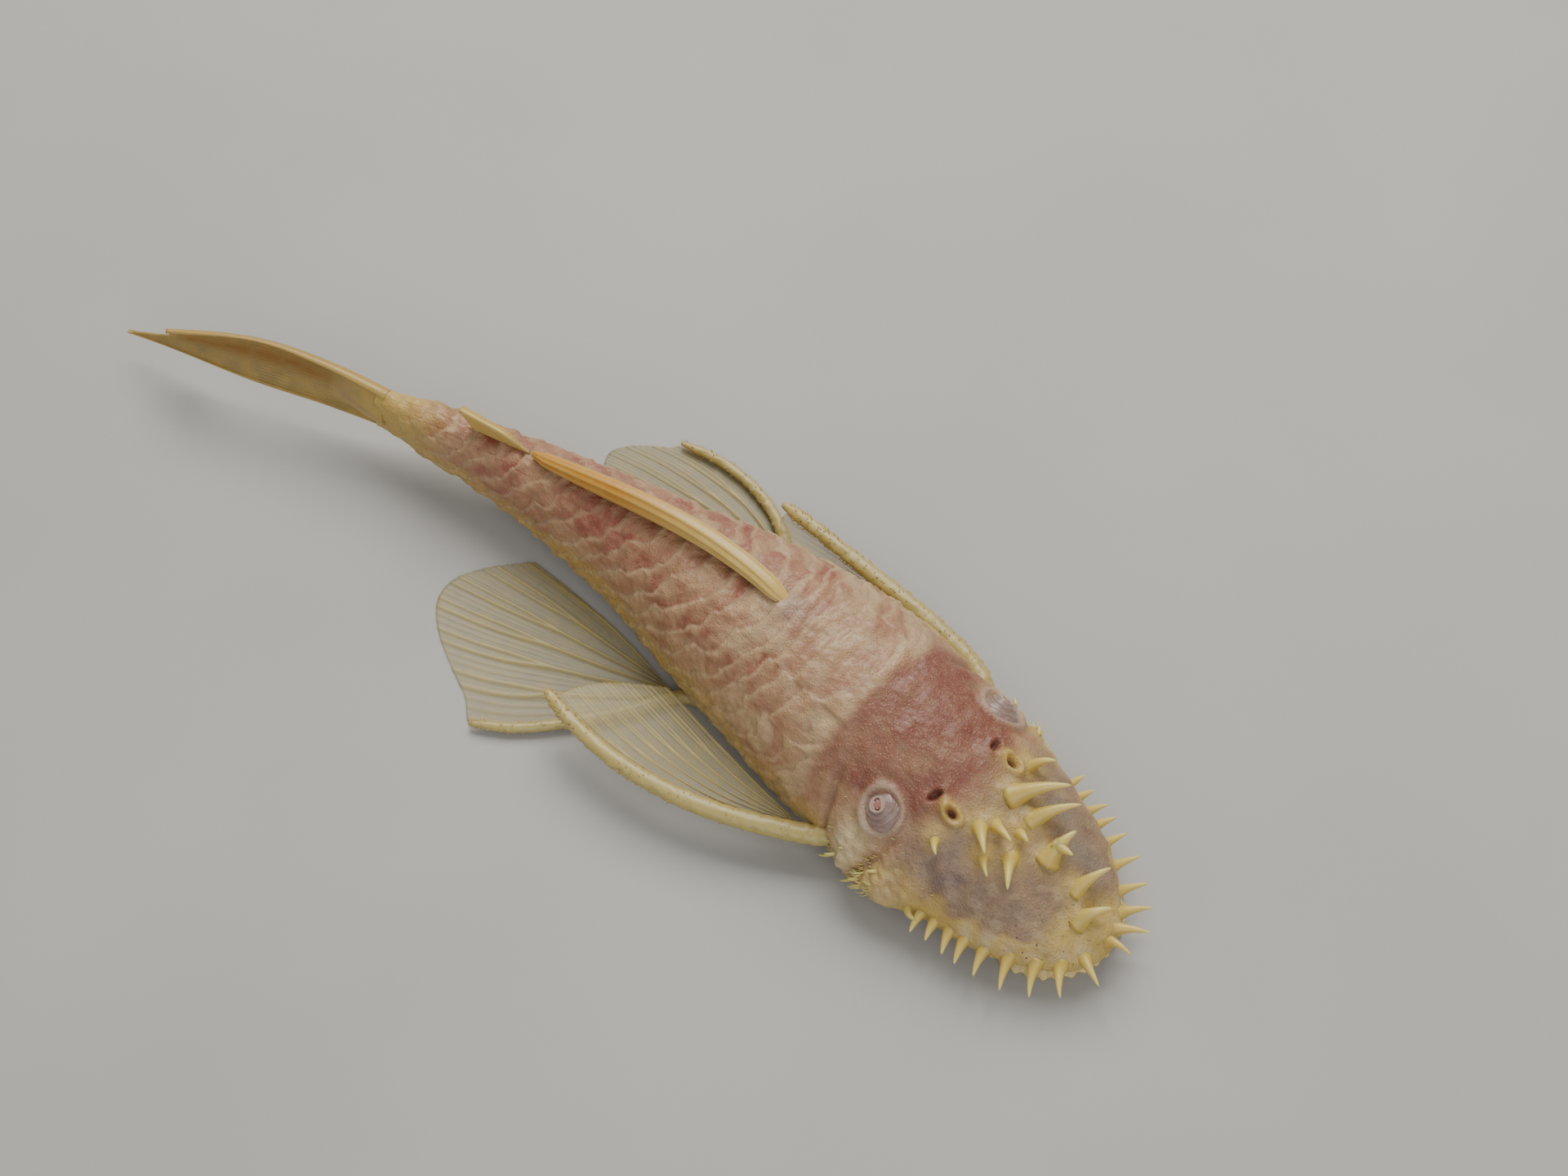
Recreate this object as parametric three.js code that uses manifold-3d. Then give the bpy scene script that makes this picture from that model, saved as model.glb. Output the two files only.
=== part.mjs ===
// Bristlenose pleco, an adult male suckermouth catfish, life size and at rest on the bottom.
// Millimetres, +Z up. The head points to +X and the animal's left side to +Y.
// The origin is on the flat of the belly, 36 mm behind the tip of the snout.
import * as THREE from 'three';
import Module from 'manifold-3d';
import { mergeVertices } from 'three/addons/utils/BufferGeometryUtils.js';

const wasm = await Module();
wasm.setup();

// Driving dimensions
const SNOUT_TO_ORIGIN = 36;
const TAIL_BASE = 88;
const LOBE_LOWER = 118;
const LOBE_UPPER = 112.5;
const BEND_START = 40;
const BEND_LENGTH = 45;
const BEND_ANGLE = THREE.MathUtils.degToRad(13.7);
const BEND_POWER = 1.3;
const HEAD_TURN = THREE.MathUtils.degToRad(6.4);
const HEAD_TURN_FROM = 36;
const HEAD_TURN_TO = 18;
const SNOUT_ROUND = 10;
const SNOUT_ROUND_UP = 2.2;
const SNOUT_HEIGHT = 3;
const UPPER_POWER_HEAD = 1.85;
const UPPER_POWER_TRUNK = 2.15;
const LOWER_POWER = 3.6;
const GAP = 0.3;
const HEAD_END = 29;
const HEAD_LEAN = 0.25;
const TRUNK_END = 58.6;
const PLATE_PITCH = 2.66;
const PLATE_STEP = 0.3;
const PLATE_LEAN = 0.12;
const CHEEK_S = 20;
const CHEEK_LENGTH = 3.4;
const CHEEK_OUT = 1.1;
const EYE_S = 21.6;
const EYE_OUT = 7.6;
const EYE_RADIUS = 2.3;
const NOSTRIL_S = 16.8;
const NOSTRIL_OUT = 3.8;
const MEMBRANE = 0.5;
const RAY = 0.95;

// Stations along the body: distance from the snout, half width, height of the back,
// height of the widest line and height of the underside.
const STATIONS = [
  [0, 7.0, 4.0, 3.0, 2.3],
  [4, 7.9, 6.0, 3.2, 2.2],
  [10, 9.4, 8.5, 3.5, 1.9],
  [16, 10.5, 10.7, 3.8, 0.7],
  [22, 11.1, 12.4, 4.0, -0.1],
  [28, 11.3, 13.4, 4.4, -0.15],
  [34, 11.0, 14.0, 4.7, -0.15],
  [40, 9.8, 14.2, 4.9, -0.15],
  [48, 8.0, 13.6, 5.0, -0.1],
  [56, 6.5, 12.6, 5.1, 0.6],
  [64, 5.2, 11.5, 5.3, 1.3],
  [72, 4.2, 10.6, 5.5, 1.9],
  [80, 3.4, 10.2, 5.8, 2.1],
  [88, 2.8, 10.4, 6.2, 1.9],
];

const clamp = THREE.MathUtils.clamp;
const lerp = THREE.MathUtils.lerp;
const smooth = (t) => t * t * (3 - 2 * t);

function slopeAt(column, i) {
  const last = STATIONS.length - 1;
  const a = STATIONS[Math.max(i - 1, 0)];
  const b = STATIONS[Math.min(i + 1, last)];
  if (i === 0 || i === last) {
    return (b[column] - a[column]) / (b[0] - a[0]);
  }
  const m = STATIONS[i];
  const before = m[0] - a[0];
  const after = b[0] - m[0];
  const slopeBefore = (m[column] - a[column]) / before;
  const slopeAfter = (b[column] - m[column]) / after;
  return (slopeBefore * after + slopeAfter * before) / (before + after);
}

function station(column, s) {
  const last = STATIONS.length - 1;
  let i = 0;
  while (i < last - 1 && STATIONS[i + 1][0] <= s) {
    i += 1;
  }
  const a = STATIONS[i];
  const b = STATIONS[i + 1];
  const h = b[0] - a[0];
  const t = clamp((s - a[0]) / h, 0, 1);
  const t2 = t * t;
  const t3 = t2 * t;
  const start = (2 * t3 - 3 * t2 + 1) * a[column] + (t3 - 2 * t2 + t) * h * slopeAt(column, i);
  const end = (3 * t2 - 2 * t3) * b[column] + (t3 - t2) * h * slopeAt(column, i + 1);
  return start + end;
}

// The body's measures at a distance s behind the snout, rounded off at the front.
function body(s) {
  const r = Math.sqrt(1 - clamp(1 - s / SNOUT_ROUND, 0, 1) ** 2);
  const q = Math.sqrt(1 - clamp(1 - s / SNOUT_ROUND_UP, 0, 1) ** 2);
  return {
    power: lerp(UPPER_POWER_HEAD, UPPER_POWER_TRUNK, smooth(clamp((s - 20) / 18, 0, 1))),
    width: station(1, s) * r,
    top: lerp(SNOUT_HEIGHT, station(2, s), q),
    edge: lerp(SNOUT_HEIGHT, station(3, s), q),
    bottom: lerp(SNOUT_HEIGHT, station(4, s), q),
  };
}

// A point of the cross-section: angle -90 degrees below, 0 at the widest line, 90 above.
function section(s, side, angle) {
  const b = body(s);
  const c = Math.max(Math.cos(angle), 0);
  const n = Math.abs(Math.sin(angle));
  const cheek = CHEEK_OUT * Math.exp(-(((s - CHEEK_S) / CHEEK_LENGTH) ** 2) - (angle / 0.45) ** 2);
  if (angle >= 0) {
    const y = b.width * c ** (2 / b.power) + cheek;
    return [side * y, b.edge + (b.top - b.edge) * n ** (2 / b.power)];
  }
  const y = b.width * c ** (2 / LOWER_POWER) + cheek;
  return [side * y, Math.max(0, b.edge - (b.edge - b.bottom) * n ** (2 / LOWER_POWER))];
}

// The line of the spine seen from above, a shallow curve that turns the tail and the snout
// to the animal's right.
function heading(s) {
  const tail = Math.max(s - BEND_START, 0) / BEND_LENGTH;
  const nose = clamp((HEAD_TURN_FROM - s) / (HEAD_TURN_FROM - HEAD_TURN_TO), 0, 1);
  return BEND_ANGLE * tail ** BEND_POWER - HEAD_TURN * smooth(nose);
}

const LINE_STEP = 0.25;
const LINE_FROM = -10;
const LINE_COUNT = 600;
const line = [[0, 0]];
for (let i = 1; i < LINE_COUNT; i += 1) {
  const h = heading(LINE_FROM + (i - 0.5) * LINE_STEP);
  const p = line[i - 1];
  line.push([p[0] - Math.cos(h) * LINE_STEP, p[1] - Math.sin(h) * LINE_STEP]);
}

function onLine(s) {
  const f = (s - LINE_FROM) / LINE_STEP;
  const i = clamp(Math.floor(f), 0, LINE_COUNT - 2);
  return [lerp(line[i][0], line[i + 1][0], f - i), lerp(line[i][1], line[i + 1][1], f - i)];
}

const ZERO = onLine(SNOUT_TO_ORIGIN);

// From the straight animal to its bent pose.
function place(s, y, z) {
  const h = heading(s);
  const c = onLine(s);
  const x = c[0] - ZERO[0] - Math.sin(h) * y;
  return new THREE.Vector3(x, c[1] - ZERO[1] + Math.cos(h) * y, z);
}

// Meshes. Faces are turned so that they point outwards.
function geometryOf(points, faces) {
  const volume = faces.reduce((sum, [a, b, c]) => {
    const cross = new THREE.Vector3().crossVectors(points[b], points[c]);
    return sum + points[a].dot(cross);
  }, 0);
  if (volume < 0) {
    faces.forEach((f) => f.reverse());
  }
  const g = new THREE.BufferGeometry();
  g.setAttribute('position', new THREE.Float32BufferAttribute(points.flatMap((p) => [p.x, p.y, p.z]), 3));
  g.setIndex(faces.flat());
  return g;
}

function solidOf(geometry) {
  let g = geometry.clone();
  for (const name of Object.keys(g.attributes)) {
    if (name !== 'position') {
      g.deleteAttribute(name);
    }
  }
  g = mergeVertices(g, 1e-5);
  const vertProperties = new Float32Array(g.attributes.position.array);
  const triVerts = new Uint32Array(g.index.array);
  return new wasm.Manifold(new wasm.Mesh({ numProp: 3, vertProperties, triVerts }));
}

const SHORTEST_EDGE = 0.01;
function outerSurface(solid) {
  const pieces = solid.simplify(SHORTEST_EDGE).decompose();
  pieces.sort((a, b) => b.getMesh().triVerts.length - a.getMesh().triVerts.length);
  const mesh = pieces[0].getMesh();
  const g = new THREE.BufferGeometry();
  g.setAttribute('position', new THREE.Float32BufferAttribute(Array.from(mesh.vertProperties), 3));
  g.setIndex(Array.from(mesh.triVerts));
  return g;
}

// A closed tube-like skin through rings of points, each ring going round the same way.
function loft(rings) {
  const n = rings[0].length;
  const points = rings.flat();
  const faces = [];
  for (let i = 0; i < rings.length - 1; i += 1) {
    for (let j = 0; j < n; j += 1) {
      const a = i * n + j;
      const b = i * n + ((j + 1) % n);
      faces.push([a, b, b + n], [a, b + n, a + n]);
    }
  }
  const middle = (ring) => {
    const m = new THREE.Vector3();
    ring.forEach((p) => m.add(p));
    return m.divideScalar(ring.length);
  };
  const first = points.length;
  points.push(middle(rings[0]), middle(rings[rings.length - 1]));
  const last = (rings.length - 1) * n;
  for (let j = 0; j < n; j += 1) {
    const k = (j + 1) % n;
    faces.push([first, k, j], [first + 1, last + j, last + k]);
  }
  return geometryOf(points, faces);
}

// Angles round half of a cross-section, closer together where it turns sharply.
const HALF = [-90, -78, -66, -54, -42, -30, -18, -6, 6, 16, 27, 38, 49, 60, 70, 80];
const UPPER_HALF = HALF.slice(1).map((d) => THREE.MathUtils.degToRad(d));
const RING = [
  [-1, -Math.PI / 2],
  ...UPPER_HALF.map((a) => [-1, a]),
  [-1, Math.PI / 2],
  ...UPPER_HALF.slice().reverse().map((a) => [1, a]),
];

// Bony plates lie like shingles: each one rises to its rear edge and steps down to the next.
function plateRise(angle) {
  return smooth(clamp((THREE.MathUtils.radToDeg(angle) + 52) / 16, 0, 1));
}

// Rear edges of the plates: a shallow point in each of the rows along a side.
const ROW_EDGES = [-52, -25, 8, 36, 62, 90];
function plateShift(angle) {
  const d = THREE.MathUtils.radToDeg(angle);
  let k = 0;
  while (k < ROW_EDGES.length - 2 && ROW_EDGES[k + 1] < d) {
    k += 1;
  }
  const t = clamp((d - ROW_EDGES[k]) / (ROW_EDGES[k + 1] - ROW_EDGES[k]), 0, 1);
  return 0.7 * (1 - Math.abs(2 * t - 1));
}

function bodyPoint(s, side, angle, out) {
  const [y, z] = section(s, side, angle);
  const p = place(s, y, z);
  if (out > 0) {
    const e = 0.02;
    const [ya, za] = section(s, side, clamp(angle + e, -Math.PI / 2, Math.PI / 2));
    const [yb, zb] = section(s, side, clamp(angle - e, -Math.PI / 2, Math.PI / 2));
    const along = place(s + 0.3, y, z).sub(p).normalize();
    const around = place(s, ya, za).sub(place(s, yb, zb)).normalize();
    const normal = along.cross(around).multiplyScalar(side).normalize();
    p.addScaledVector(normal, out);
    p.z = Math.max(p.z, 0);
  }
  return p;
}

function shiftedRing(u, shift, lean, out) {
  return RING.map(([side, angle]) => {
    const first = section(u, side, angle);
    const s = u + shift * plateShift(angle) + lean * first[1];
    return bodyPoint(s, side, angle, out * plateRise(angle));
  });
}

function plated(from, to, leanFrom, leanTo) {
  const rings = [];
  const count = Math.round((to - from) / PLATE_PITCH);
  const pitch = (to - from) / count;
  for (let i = 0; i < count; i += 1) {
    const lean = lerp(leanFrom, leanTo, i / count);
    const next = lerp(leanFrom, leanTo, (i + 0.9) / count);
    const u = from + i * pitch;
    rings.push(shiftedRing(u, i === 0 ? 0 : 1, lean, 0));
    rings.push(shiftedRing(u + pitch * 0.88, i === count - 1 ? 0 : 1, next, PLATE_STEP));
  }
  return loft(rings);
}

// The head, from the rounded snout to the slanting rear edge of the shoulder plates
function headShell() {
  const rings = [];
  const steps = [0.05, 0.35, 0.9, 1.7, 2.8, 4.2, 6, 8, 10, 12, 14, 16, 18, 20, 22, 24, 26.5];
  for (const u of steps) {
    rings.push(shiftedRing(u, 0, HEAD_LEAN * smooth(clamp((u - 12) / 14, 0, 1)), 0));
  }
  rings.push(shiftedRing(HEAD_END, 0, HEAD_LEAN, 0));
  return loft(rings);
}

function surfaceFrame(s, side, angle) {
  const p = bodyPoint(s, side, angle, 0);
  const q = bodyPoint(s, side, angle, 1);
  return { p, n: q.sub(p).normalize() };
}

function angleFor(s, out) {
  const b = body(s);
  const c = clamp(out / b.width, 0, 1) ** (b.power / 2);
  return Math.acos(c);
}

function eyeAt(side) {
  const f = surfaceFrame(EYE_S, side, angleFor(EYE_S, EYE_OUT));
  return { centre: f.p.clone().addScaledVector(f.n, -0.9), n: f.n };
}

function sphereAt(centre, radius, across, up) {
  const g = new THREE.SphereGeometry(radius, across, up);
  g.translate(centre.x, centre.y, centre.z);
  return g;
}

// A tapering spine through a few points, with a pointed tip
function spine(points, radius, sides) {
  const faces = [];
  const all = [];
  const rings = points.length - 1;
  for (let i = 0; i < rings; i += 1) {
    const along = points[i + 1].clone().sub(points[Math.max(i - 1, 0)]).normalize();
    const u = new THREE.Vector3(-along.y, along.x, 0.01).normalize();
    const v = along.clone().cross(u).normalize();
    const r = radius * (1 - 0.3 * (i / rings));
    for (let k = 0; k < sides; k += 1) {
      const t = (k / sides) * Math.PI * 2;
      const p = points[i].clone().addScaledVector(u, r * Math.cos(t));
      all.push(p.addScaledVector(v, r * Math.sin(t)));
    }
  }
  const tip = all.length;
  all.push(points[rings], points[0]);
  for (let k = 0; k < sides; k += 1) {
    const m = (k + 1) % sides;
    for (let i = 0; i < rings - 1; i += 1) {
      faces.push([i * sides + k, i * sides + m, (i + 1) * sides + m]);
      faces.push([i * sides + k, (i + 1) * sides + m, (i + 1) * sides + k]);
    }
    faces.push([(rings - 1) * sides + k, (rings - 1) * sides + m, tip]);
    faces.push([tip + 1, m, k]);
  }
  return geometryOf(all, faces);
}

// A fleshy bristle on the head. It leaves the skin upwards and then lies towards its
// heading, an angle in degrees from +X; rise is the height of its tip over its root.
function bristle(s, y, length, headingDegrees, rise, radius) {
  const side = y < 0 ? -1 : 1;
  const f = surfaceFrame(s, side, angleFor(s, Math.abs(y)));
  const h = THREE.MathUtils.degToRad(headingDegrees);
  const reach = new THREE.Vector3(Math.cos(h) * length, Math.sin(h) * length, rise);
  const root = f.p.clone().addScaledVector(f.n, -0.6);
  const middle = f.p.clone().addScaledVector(f.n, 0.45).addScaledVector(reach, 0.42);
  const tip = f.p.clone().add(reach).addScaledVector(f.n, 0.2);
  return { solid: spine([root, middle, tip], radius, 5), middle, reach };
}

function forked(s, y, length, headingDegrees, rise, radius, turn) {
  const b = bristle(s, y, length, headingDegrees, rise, radius);
  const up = new THREE.Vector3(0, 0, 1);
  const branch = b.reach.clone().multiplyScalar(0.5).applyAxisAngle(up, turn);
  const start = b.middle.clone().addScaledVector(b.reach, -0.15);
  const knee = start.clone().addScaledVector(branch, 0.45);
  return [b.solid, spine([start, knee, start.clone().add(branch)], radius * 0.75, 5)];
}

// Bristles along the rim of the snout: distance from the snout, side offset from the mid
// line, length and heading for the right side; the left side has the same ones mirrored.
const RIM_BRISTLES = [
  [13.9, 10.4, 1.7, -72],
  [12.5, 10.2, 1.6, -66],
  [11, 9.9, 1.9, -62],
  [9.5, 9.6, 1.9, -62],
  [7.7, 8.7, 2.1, -62],
  [5.7, 7.6, 2.5, -60],
  [3.7, 6.2, 2.5, -54],
  [2.1, 4.4, 2.6, -46],
  [1.2, 2.2, 2.9, -26],
];

// Bristles on top of the snout: they climb the mid line and part towards both nostrils.
// Distance, side offset, length, heading, rise, root radius and turn of the branch.
const TOP_BRISTLES = [
  [1, 0.3, 2.8, 0, 0, 0.55, 0],
  [3.5, -0.7, 2.9, 52, 0.7, 0.8, 0],
  [5.5, 0.8, 3.4, 66, 0.8, 0.72, 0],
  [8.9, 0.7, 3, 78, 1, 0.9, -1.4],
  [11, -2.1, 3.8, -55, 1, 0.72, 0],
  [12, -0.2, 1.6, -20, 0.6, 0.65, 0],
  [12.2, 1.8, 4.3, 50, 0.9, 0.8, 0],
  [12.6, -3.9, 2.4, -40, 0.6, 0.5, 0],
  [13.9, -1.4, 2.8, -18, 1, 0.68, 0],
  [14.7, 1.9, 5, 44, 0.8, 0.9, 0],
  [14.6, -2.4, 3.4, -44, 1, 0.75, 0],
  [16, 5.1, 2.4, 38, 0.8, 0.6, 0],
  [16.5, -5.9, 2, -45, 0.8, 0.5, 0],
  [15.4, -10, 2, -10, 0, 0.55, 0],
];

function bristles() {
  const all = [];
  for (const [s, y, length, turn] of RIM_BRISTLES) {
    all.push(bristle(s, -y, length, turn, -0.2, 0.48).solid);
    all.push(bristle(s, y, length, -turn, -0.2, 0.48).solid);
  }
  for (const [s, y, length, turn, rise, radius, branch] of TOP_BRISTLES) {
    if (branch === 0) {
      all.push(bristle(s, y, length, turn, rise, radius).solid);
    } else {
      all.push(...forked(s, y, length, turn, rise, radius, branch));
    }
  }
  return all;
}

// Stiff hooked spines on each cheek, turned out and back
function cheekSpines(side) {
  const all = [];
  for (let i = 0; i < 7; i += 1) {
    const s = 17.6 + 1.05 * i;
    const angle = THREE.MathUtils.degToRad(-10 + 13 * ((i * 2) % 3));
    const f = surfaceFrame(s, side, angle);
    const root = f.p.clone().addScaledVector(f.n, -0.7);
    const middle = f.p.clone().addScaledVector(f.n, 0.5);
    const back = new THREE.Vector3(-1, side * 0.5, -0.15).multiplyScalar(0.6 + 0.08 * i);
    all.push(spine([root, middle, middle.clone().add(back)], 0.3, 4));
  }
  return all;
}

function turnedTo(geometry, normal, centre) {
  const up = new THREE.Vector3(0, 0, 1);
  geometry.applyQuaternion(new THREE.Quaternion().setFromUnitVectors(up, normal));
  geometry.translate(centre.x, centre.y, centre.z);
  return geometry;
}

// Each nostril has a raised rim in front, a flap and a second opening behind it.
function nostril(side) {
  const front = surfaceFrame(NOSTRIL_S, side, angleFor(NOSTRIL_S, NOSTRIL_OUT));
  const rear = surfaceFrame(NOSTRIL_S + 1.5, side, angleFor(NOSTRIL_S + 1.5, NOSTRIL_OUT));
  const rim = turnedTo(new THREE.TorusGeometry(0.72, 0.32, 5, 12), front.n, front.p.clone().addScaledVector(front.n, 0.2));
  const flap = new THREE.SphereGeometry(0.6, 8, 6);
  flap.scale(0.5, 1.3, 1.2);
  const middle = front.p.clone().lerp(rear.p, 0.55);
  flap.translate(middle.x, middle.y, middle.z + 0.1);
  return {
    add: [rim, flap],
    cut: [sphereAt(front.p, 0.5, 8, 6), sphereAt(rear.p, 0.55, 8, 6)],
  };
}

function head() {
  let solid = solidOf(headShell());
  for (const piece of bristles()) {
    solid = solid.add(solidOf(piece));
  }
  for (const side of [1, -1]) {
    for (const piece of cheekSpines(side)) {
      solid = solid.add(solidOf(piece));
    }
    const nose = nostril(side);
    for (const piece of nose.add) {
      solid = solid.add(solidOf(piece));
    }
    for (const piece of nose.cut) {
      solid = solid.subtract(solidOf(piece));
    }
    const eye = eyeAt(side);
    const lift = eye.centre.clone().addScaledVector(eye.n, 0.85);
    const rim = turnedTo(new THREE.TorusGeometry(EYE_RADIUS + 0.3, 0.45, 6, 20), eye.n, lift);
    solid = solid.add(solidOf(rim));
    solid = solid.subtract(solidOf(sphereAt(eye.centre, EYE_RADIUS + GAP, 18, 12)));
  }
  return outerSurface(solid);
}

// The sucker mouth: a round lip disc with a shallow hollow, lying flat on the bottom
const DISC_FRONT = 0.4;
const DISC_REAR = 14.6;
const DISC_HALF = 7.2;
function suckerMouth() {
  const around = 32;
  const levels = [0.3, 0.55, 0.7, 0.9, 1];
  const middleS = (DISC_FRONT + DISC_REAR) / 2;
  const halfS = (DISC_REAR - DISC_FRONT) / 2;
  const at = (r, k, upper) => {
    const t = (k / around) * Math.PI * 2;
    const s = middleS - halfS * r * Math.cos(t);
    const y = DISC_HALF * r * Math.sin(t);
    const roof = body(clamp(s, 1.5, 20)).bottom - GAP - 0.05;
    if (upper) {
      return place(s, y, Math.min(roof, 1.9) - 0.5 * smooth(clamp((r - 0.7) / 0.3, 0, 1)) * clamp(roof - 0.6, 0, 1));
    }
    const hollow = Math.min(0.8, roof - 0.55) * (1 - smooth(clamp((r - 0.55) / 0.15, 0, 1)));
    return place(s, y, Math.max(hollow, 0) + (r > 0.95 ? 0.25 : 0));
  };
  const points = [at(0, 0, false), at(0, 0, true)];
  const faces = [];
  for (const upper of [false, true]) {
    for (const r of levels) {
      for (let k = 0; k < around; k += 1) {
        points.push(at(r, k, upper));
      }
    }
  }
  const id = (upper, i, k) => 2 + (upper ? levels.length * around : 0) + i * around + (k % around);
  for (let k = 0; k < around; k += 1) {
    faces.push([0, id(false, 0, k), id(false, 0, k + 1)]);
    faces.push([1, id(true, 0, k + 1), id(true, 0, k)]);
    for (let i = 0; i < levels.length - 1; i += 1) {
      const a = id(false, i, k);
      const b = id(false, i + 1, k);
      const c = id(false, i + 1, k + 1);
      const d = id(false, i, k + 1);
      faces.push([a, b, c], [a, c, d]);
      const e = id(true, i, k);
      const f = id(true, i + 1, k);
      const g = id(true, i + 1, k + 1);
      const h = id(true, i, k + 1);
      faces.push([e, g, f], [e, h, g]);
    }
    const last = levels.length - 1;
    const a = id(false, last, k);
    const b = id(true, last, k);
    const c = id(true, last, k + 1);
    const d = id(false, last, k + 1);
    faces.push([a, b, c], [a, c, d]);
  }
  let solid = solidOf(geometryOf(points, faces));
  for (const side of [1, -1]) {
    const root = place(9, side * (DISC_HALF - 0.9), 0.55);
    const middle = place(10.2, side * (DISC_HALF + 0.4), 0.6);
    const tip = place(12.4, side * (DISC_HALF + 1.5), 0.4);
    solid = solid.add(solidOf(spine([root, middle, tip], 0.38, 5)));
  }
  return outerSurface(solid);
}

// A fin as a sheet with two faces and raised rays. at(a, r) gives a point of its middle
// surface: a goes across the rays from the front edge, r from the root to the margin.
function fin(at, rays, rows, thick, flat) {
  const columns = [0];
  const ridges = [1];
  for (let k = 1; k < rays; k += 1) {
    for (const d of [-0.26, 0, 0.26]) {
      columns.push((k + d) / rays);
      ridges.push(d === 0 ? 1 : 0);
    }
  }
  columns.push(1);
  ridges.push(0.6);
  const upper = [];
  const lower = [];
  const e = 0.004;
  const worldAt = (a, r) => place(...at(a, r));
  for (let i = 0; i <= rows; i += 1) {
    const r = i / rows;
    columns.forEach((a, k) => {
      const p = worldAt(a, r);
      const across = worldAt(Math.min(a + e, 1), r).sub(worldAt(Math.max(a - e, 0), r));
      const along = worldAt(a, Math.min(r + e, 1)).sub(worldAt(a, Math.max(r - e, 0)));
      const n = across.cross(along).normalize();
      const t = thick(a, r, ridges[k]) / 2;
      if (flat) {
        upper.push(new THREE.Vector3(p.x, p.y, p.z + 2 * t));
        lower.push(p.clone());
      } else {
        upper.push(p.clone().addScaledVector(n, t));
        lower.push(p.clone().addScaledVector(n, -t));
      }
    });
  }
  const n = columns.length;
  const points = [...upper, ...lower];
  const off = upper.length;
  const faces = [];
  for (let i = 0; i < rows; i += 1) {
    for (let k = 0; k < n - 1; k += 1) {
      const a = i * n + k;
      faces.push([a, a + 1, a + n + 1], [a, a + n + 1, a + n]);
      faces.push([off + a, off + a + n + 1, off + a + 1], [off + a, off + a + n, off + a + n + 1]);
    }
  }
  const edge = [];
  for (let k = 0; k < n - 1; k += 1) {
    edge.push([k + 1, k]);
    edge.push([rows * n + k, rows * n + k + 1]);
  }
  for (let i = 0; i < rows; i += 1) {
    edge.push([i * n, (i + 1) * n]);
    edge.push([(i + 2) * n - 1, (i + 1) * n - 1]);
  }
  for (const [a, b] of edge) {
    faces.push([a, b, off + b], [a, off + b, off + a]);
  }
  return geometryOf(points, faces);
}

// A smooth line through a few points, read by its parameter
function curve(points) {
  return new THREE.CatmullRomCurve3(points.map((p) => new THREE.Vector3(...p)), false, 'centripetal');
}

const rayThickness = (ridge) => (a, r, k) => MEMBRANE + (ridge - MEMBRANE) * k * (1 - 0.45 * r);

function fanBetween(front, rear, bow) {
  const first = curve(front);
  const last = curve(rear);
  return (a, r) => {
    const p = first.getPoint(r * (1 - 0.06 * (a > 0 ? 1 : 0)));
    const q = last.getPoint(r);
    p.lerp(q, a);
    p.x += bow * Math.sin(Math.PI * a) * r;
    return [p.x, p.y, p.z];
  };
}

// Pectoral fins, held back along the flanks above the pelvic fins
function pectoral(side) {
  const front = side < 0
    ? [[27.2, -12.4, 3.7], [37.1, -16.8, 4.1], [45, -18.4, 4.5], [51.7, -18.1, 4.8], [56, -17.2, 5]]
    : [[27.2, 12.4, 3.7], [34, 13.4, 4.2], [41.2, 13, 4.5], [47, 12.9, 4.8], [51.5, 12.5, 5]];
  const rear = [[29.6, 12.2], [34.5, 11.9], [40, 10.9], [47.5, 9.2]].map(([s, y], i) => [s, side * y, 3.6 - 0.1 * i]);
  return fin(fanBetween(front, rear, 1.6), 7, 9, (a, r, k) => {
    const spine = a === 0 ? 1.5 * (1 - 0.6 * r) : 0;
    return Math.max(spine, rayThickness(RAY)(a, r, k));
  }, false);
}

// Pelvic fins, spread flat on the bottom
function pelvic(side) {
  const front = side < 0
    ? [[46.8, -8, 0], [50, -12.6, 0], [53.6, -16.8, 0], [57.6, -20.4, 0], [61.9, -22.6, 0]]
    : [[46.8, 8, 0], [51, 11.9, 0], [55, 14, 0], [60, 14.9, 0], [64.7, 14.4, 0]];
  const rear = side < 0
    ? [[49.2, -8, 0], [54.5, -6.8, 0], [61.5, -5.6, 0], [68.4, -4.8, 0]]
    : [[49.2, 8, 0], [54.5, 6.8, 0], [60, 5.8, 0], [66, 5.2, 0]];
  const bow = side < 0 ? 9.5 : 5;
  return fin(fanBetween(front, rear, bow), 6, 9, (a, r, k) => {
    const spine = a === 0 ? 1.4 * (1 - 0.55 * r) : 0;
    return Math.max(spine, rayThickness(RAY)(a, r, k));
  }, true);
}

// Tail fin, nearly closed, its lower lobe the longer
function caudal() {
  const upper = curve([[TAIL_BASE + 0.5, 0, 10.2], [95, 0.8, 9.6], [103, 0.9, 8.7], [LOBE_UPPER, -0.4, 7.6]]);
  const lower = curve([[TAIL_BASE + 0.5, 0, 2.1], [95, -1.3, 2.4], [104, -1.8, 3], [LOBE_LOWER, 1.2, 3.6]]);
  const at = (a, r) => {
    const p = upper.getPoint(r);
    const q = lower.getPoint(r);
    p.lerp(q, a);
    p.x -= 2.2 * Math.sin(Math.PI * a) * r;
    return [p.x, p.y, p.z];
  };
  return fin(at, 11, 9, (a, r, k) => {
    const spine = (a === 0 || a === 1) ? 1.5 * (1 - 0.5 * r) : 0;
    const root = lerp(2.6, 0, clamp(r * 4, 0, 1)) * Math.sin(Math.PI * clamp(a, 0.12, 0.88));
    return Math.max(spine, rayThickness(RAY)(a, r, k), root);
  }, false);
}

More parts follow.
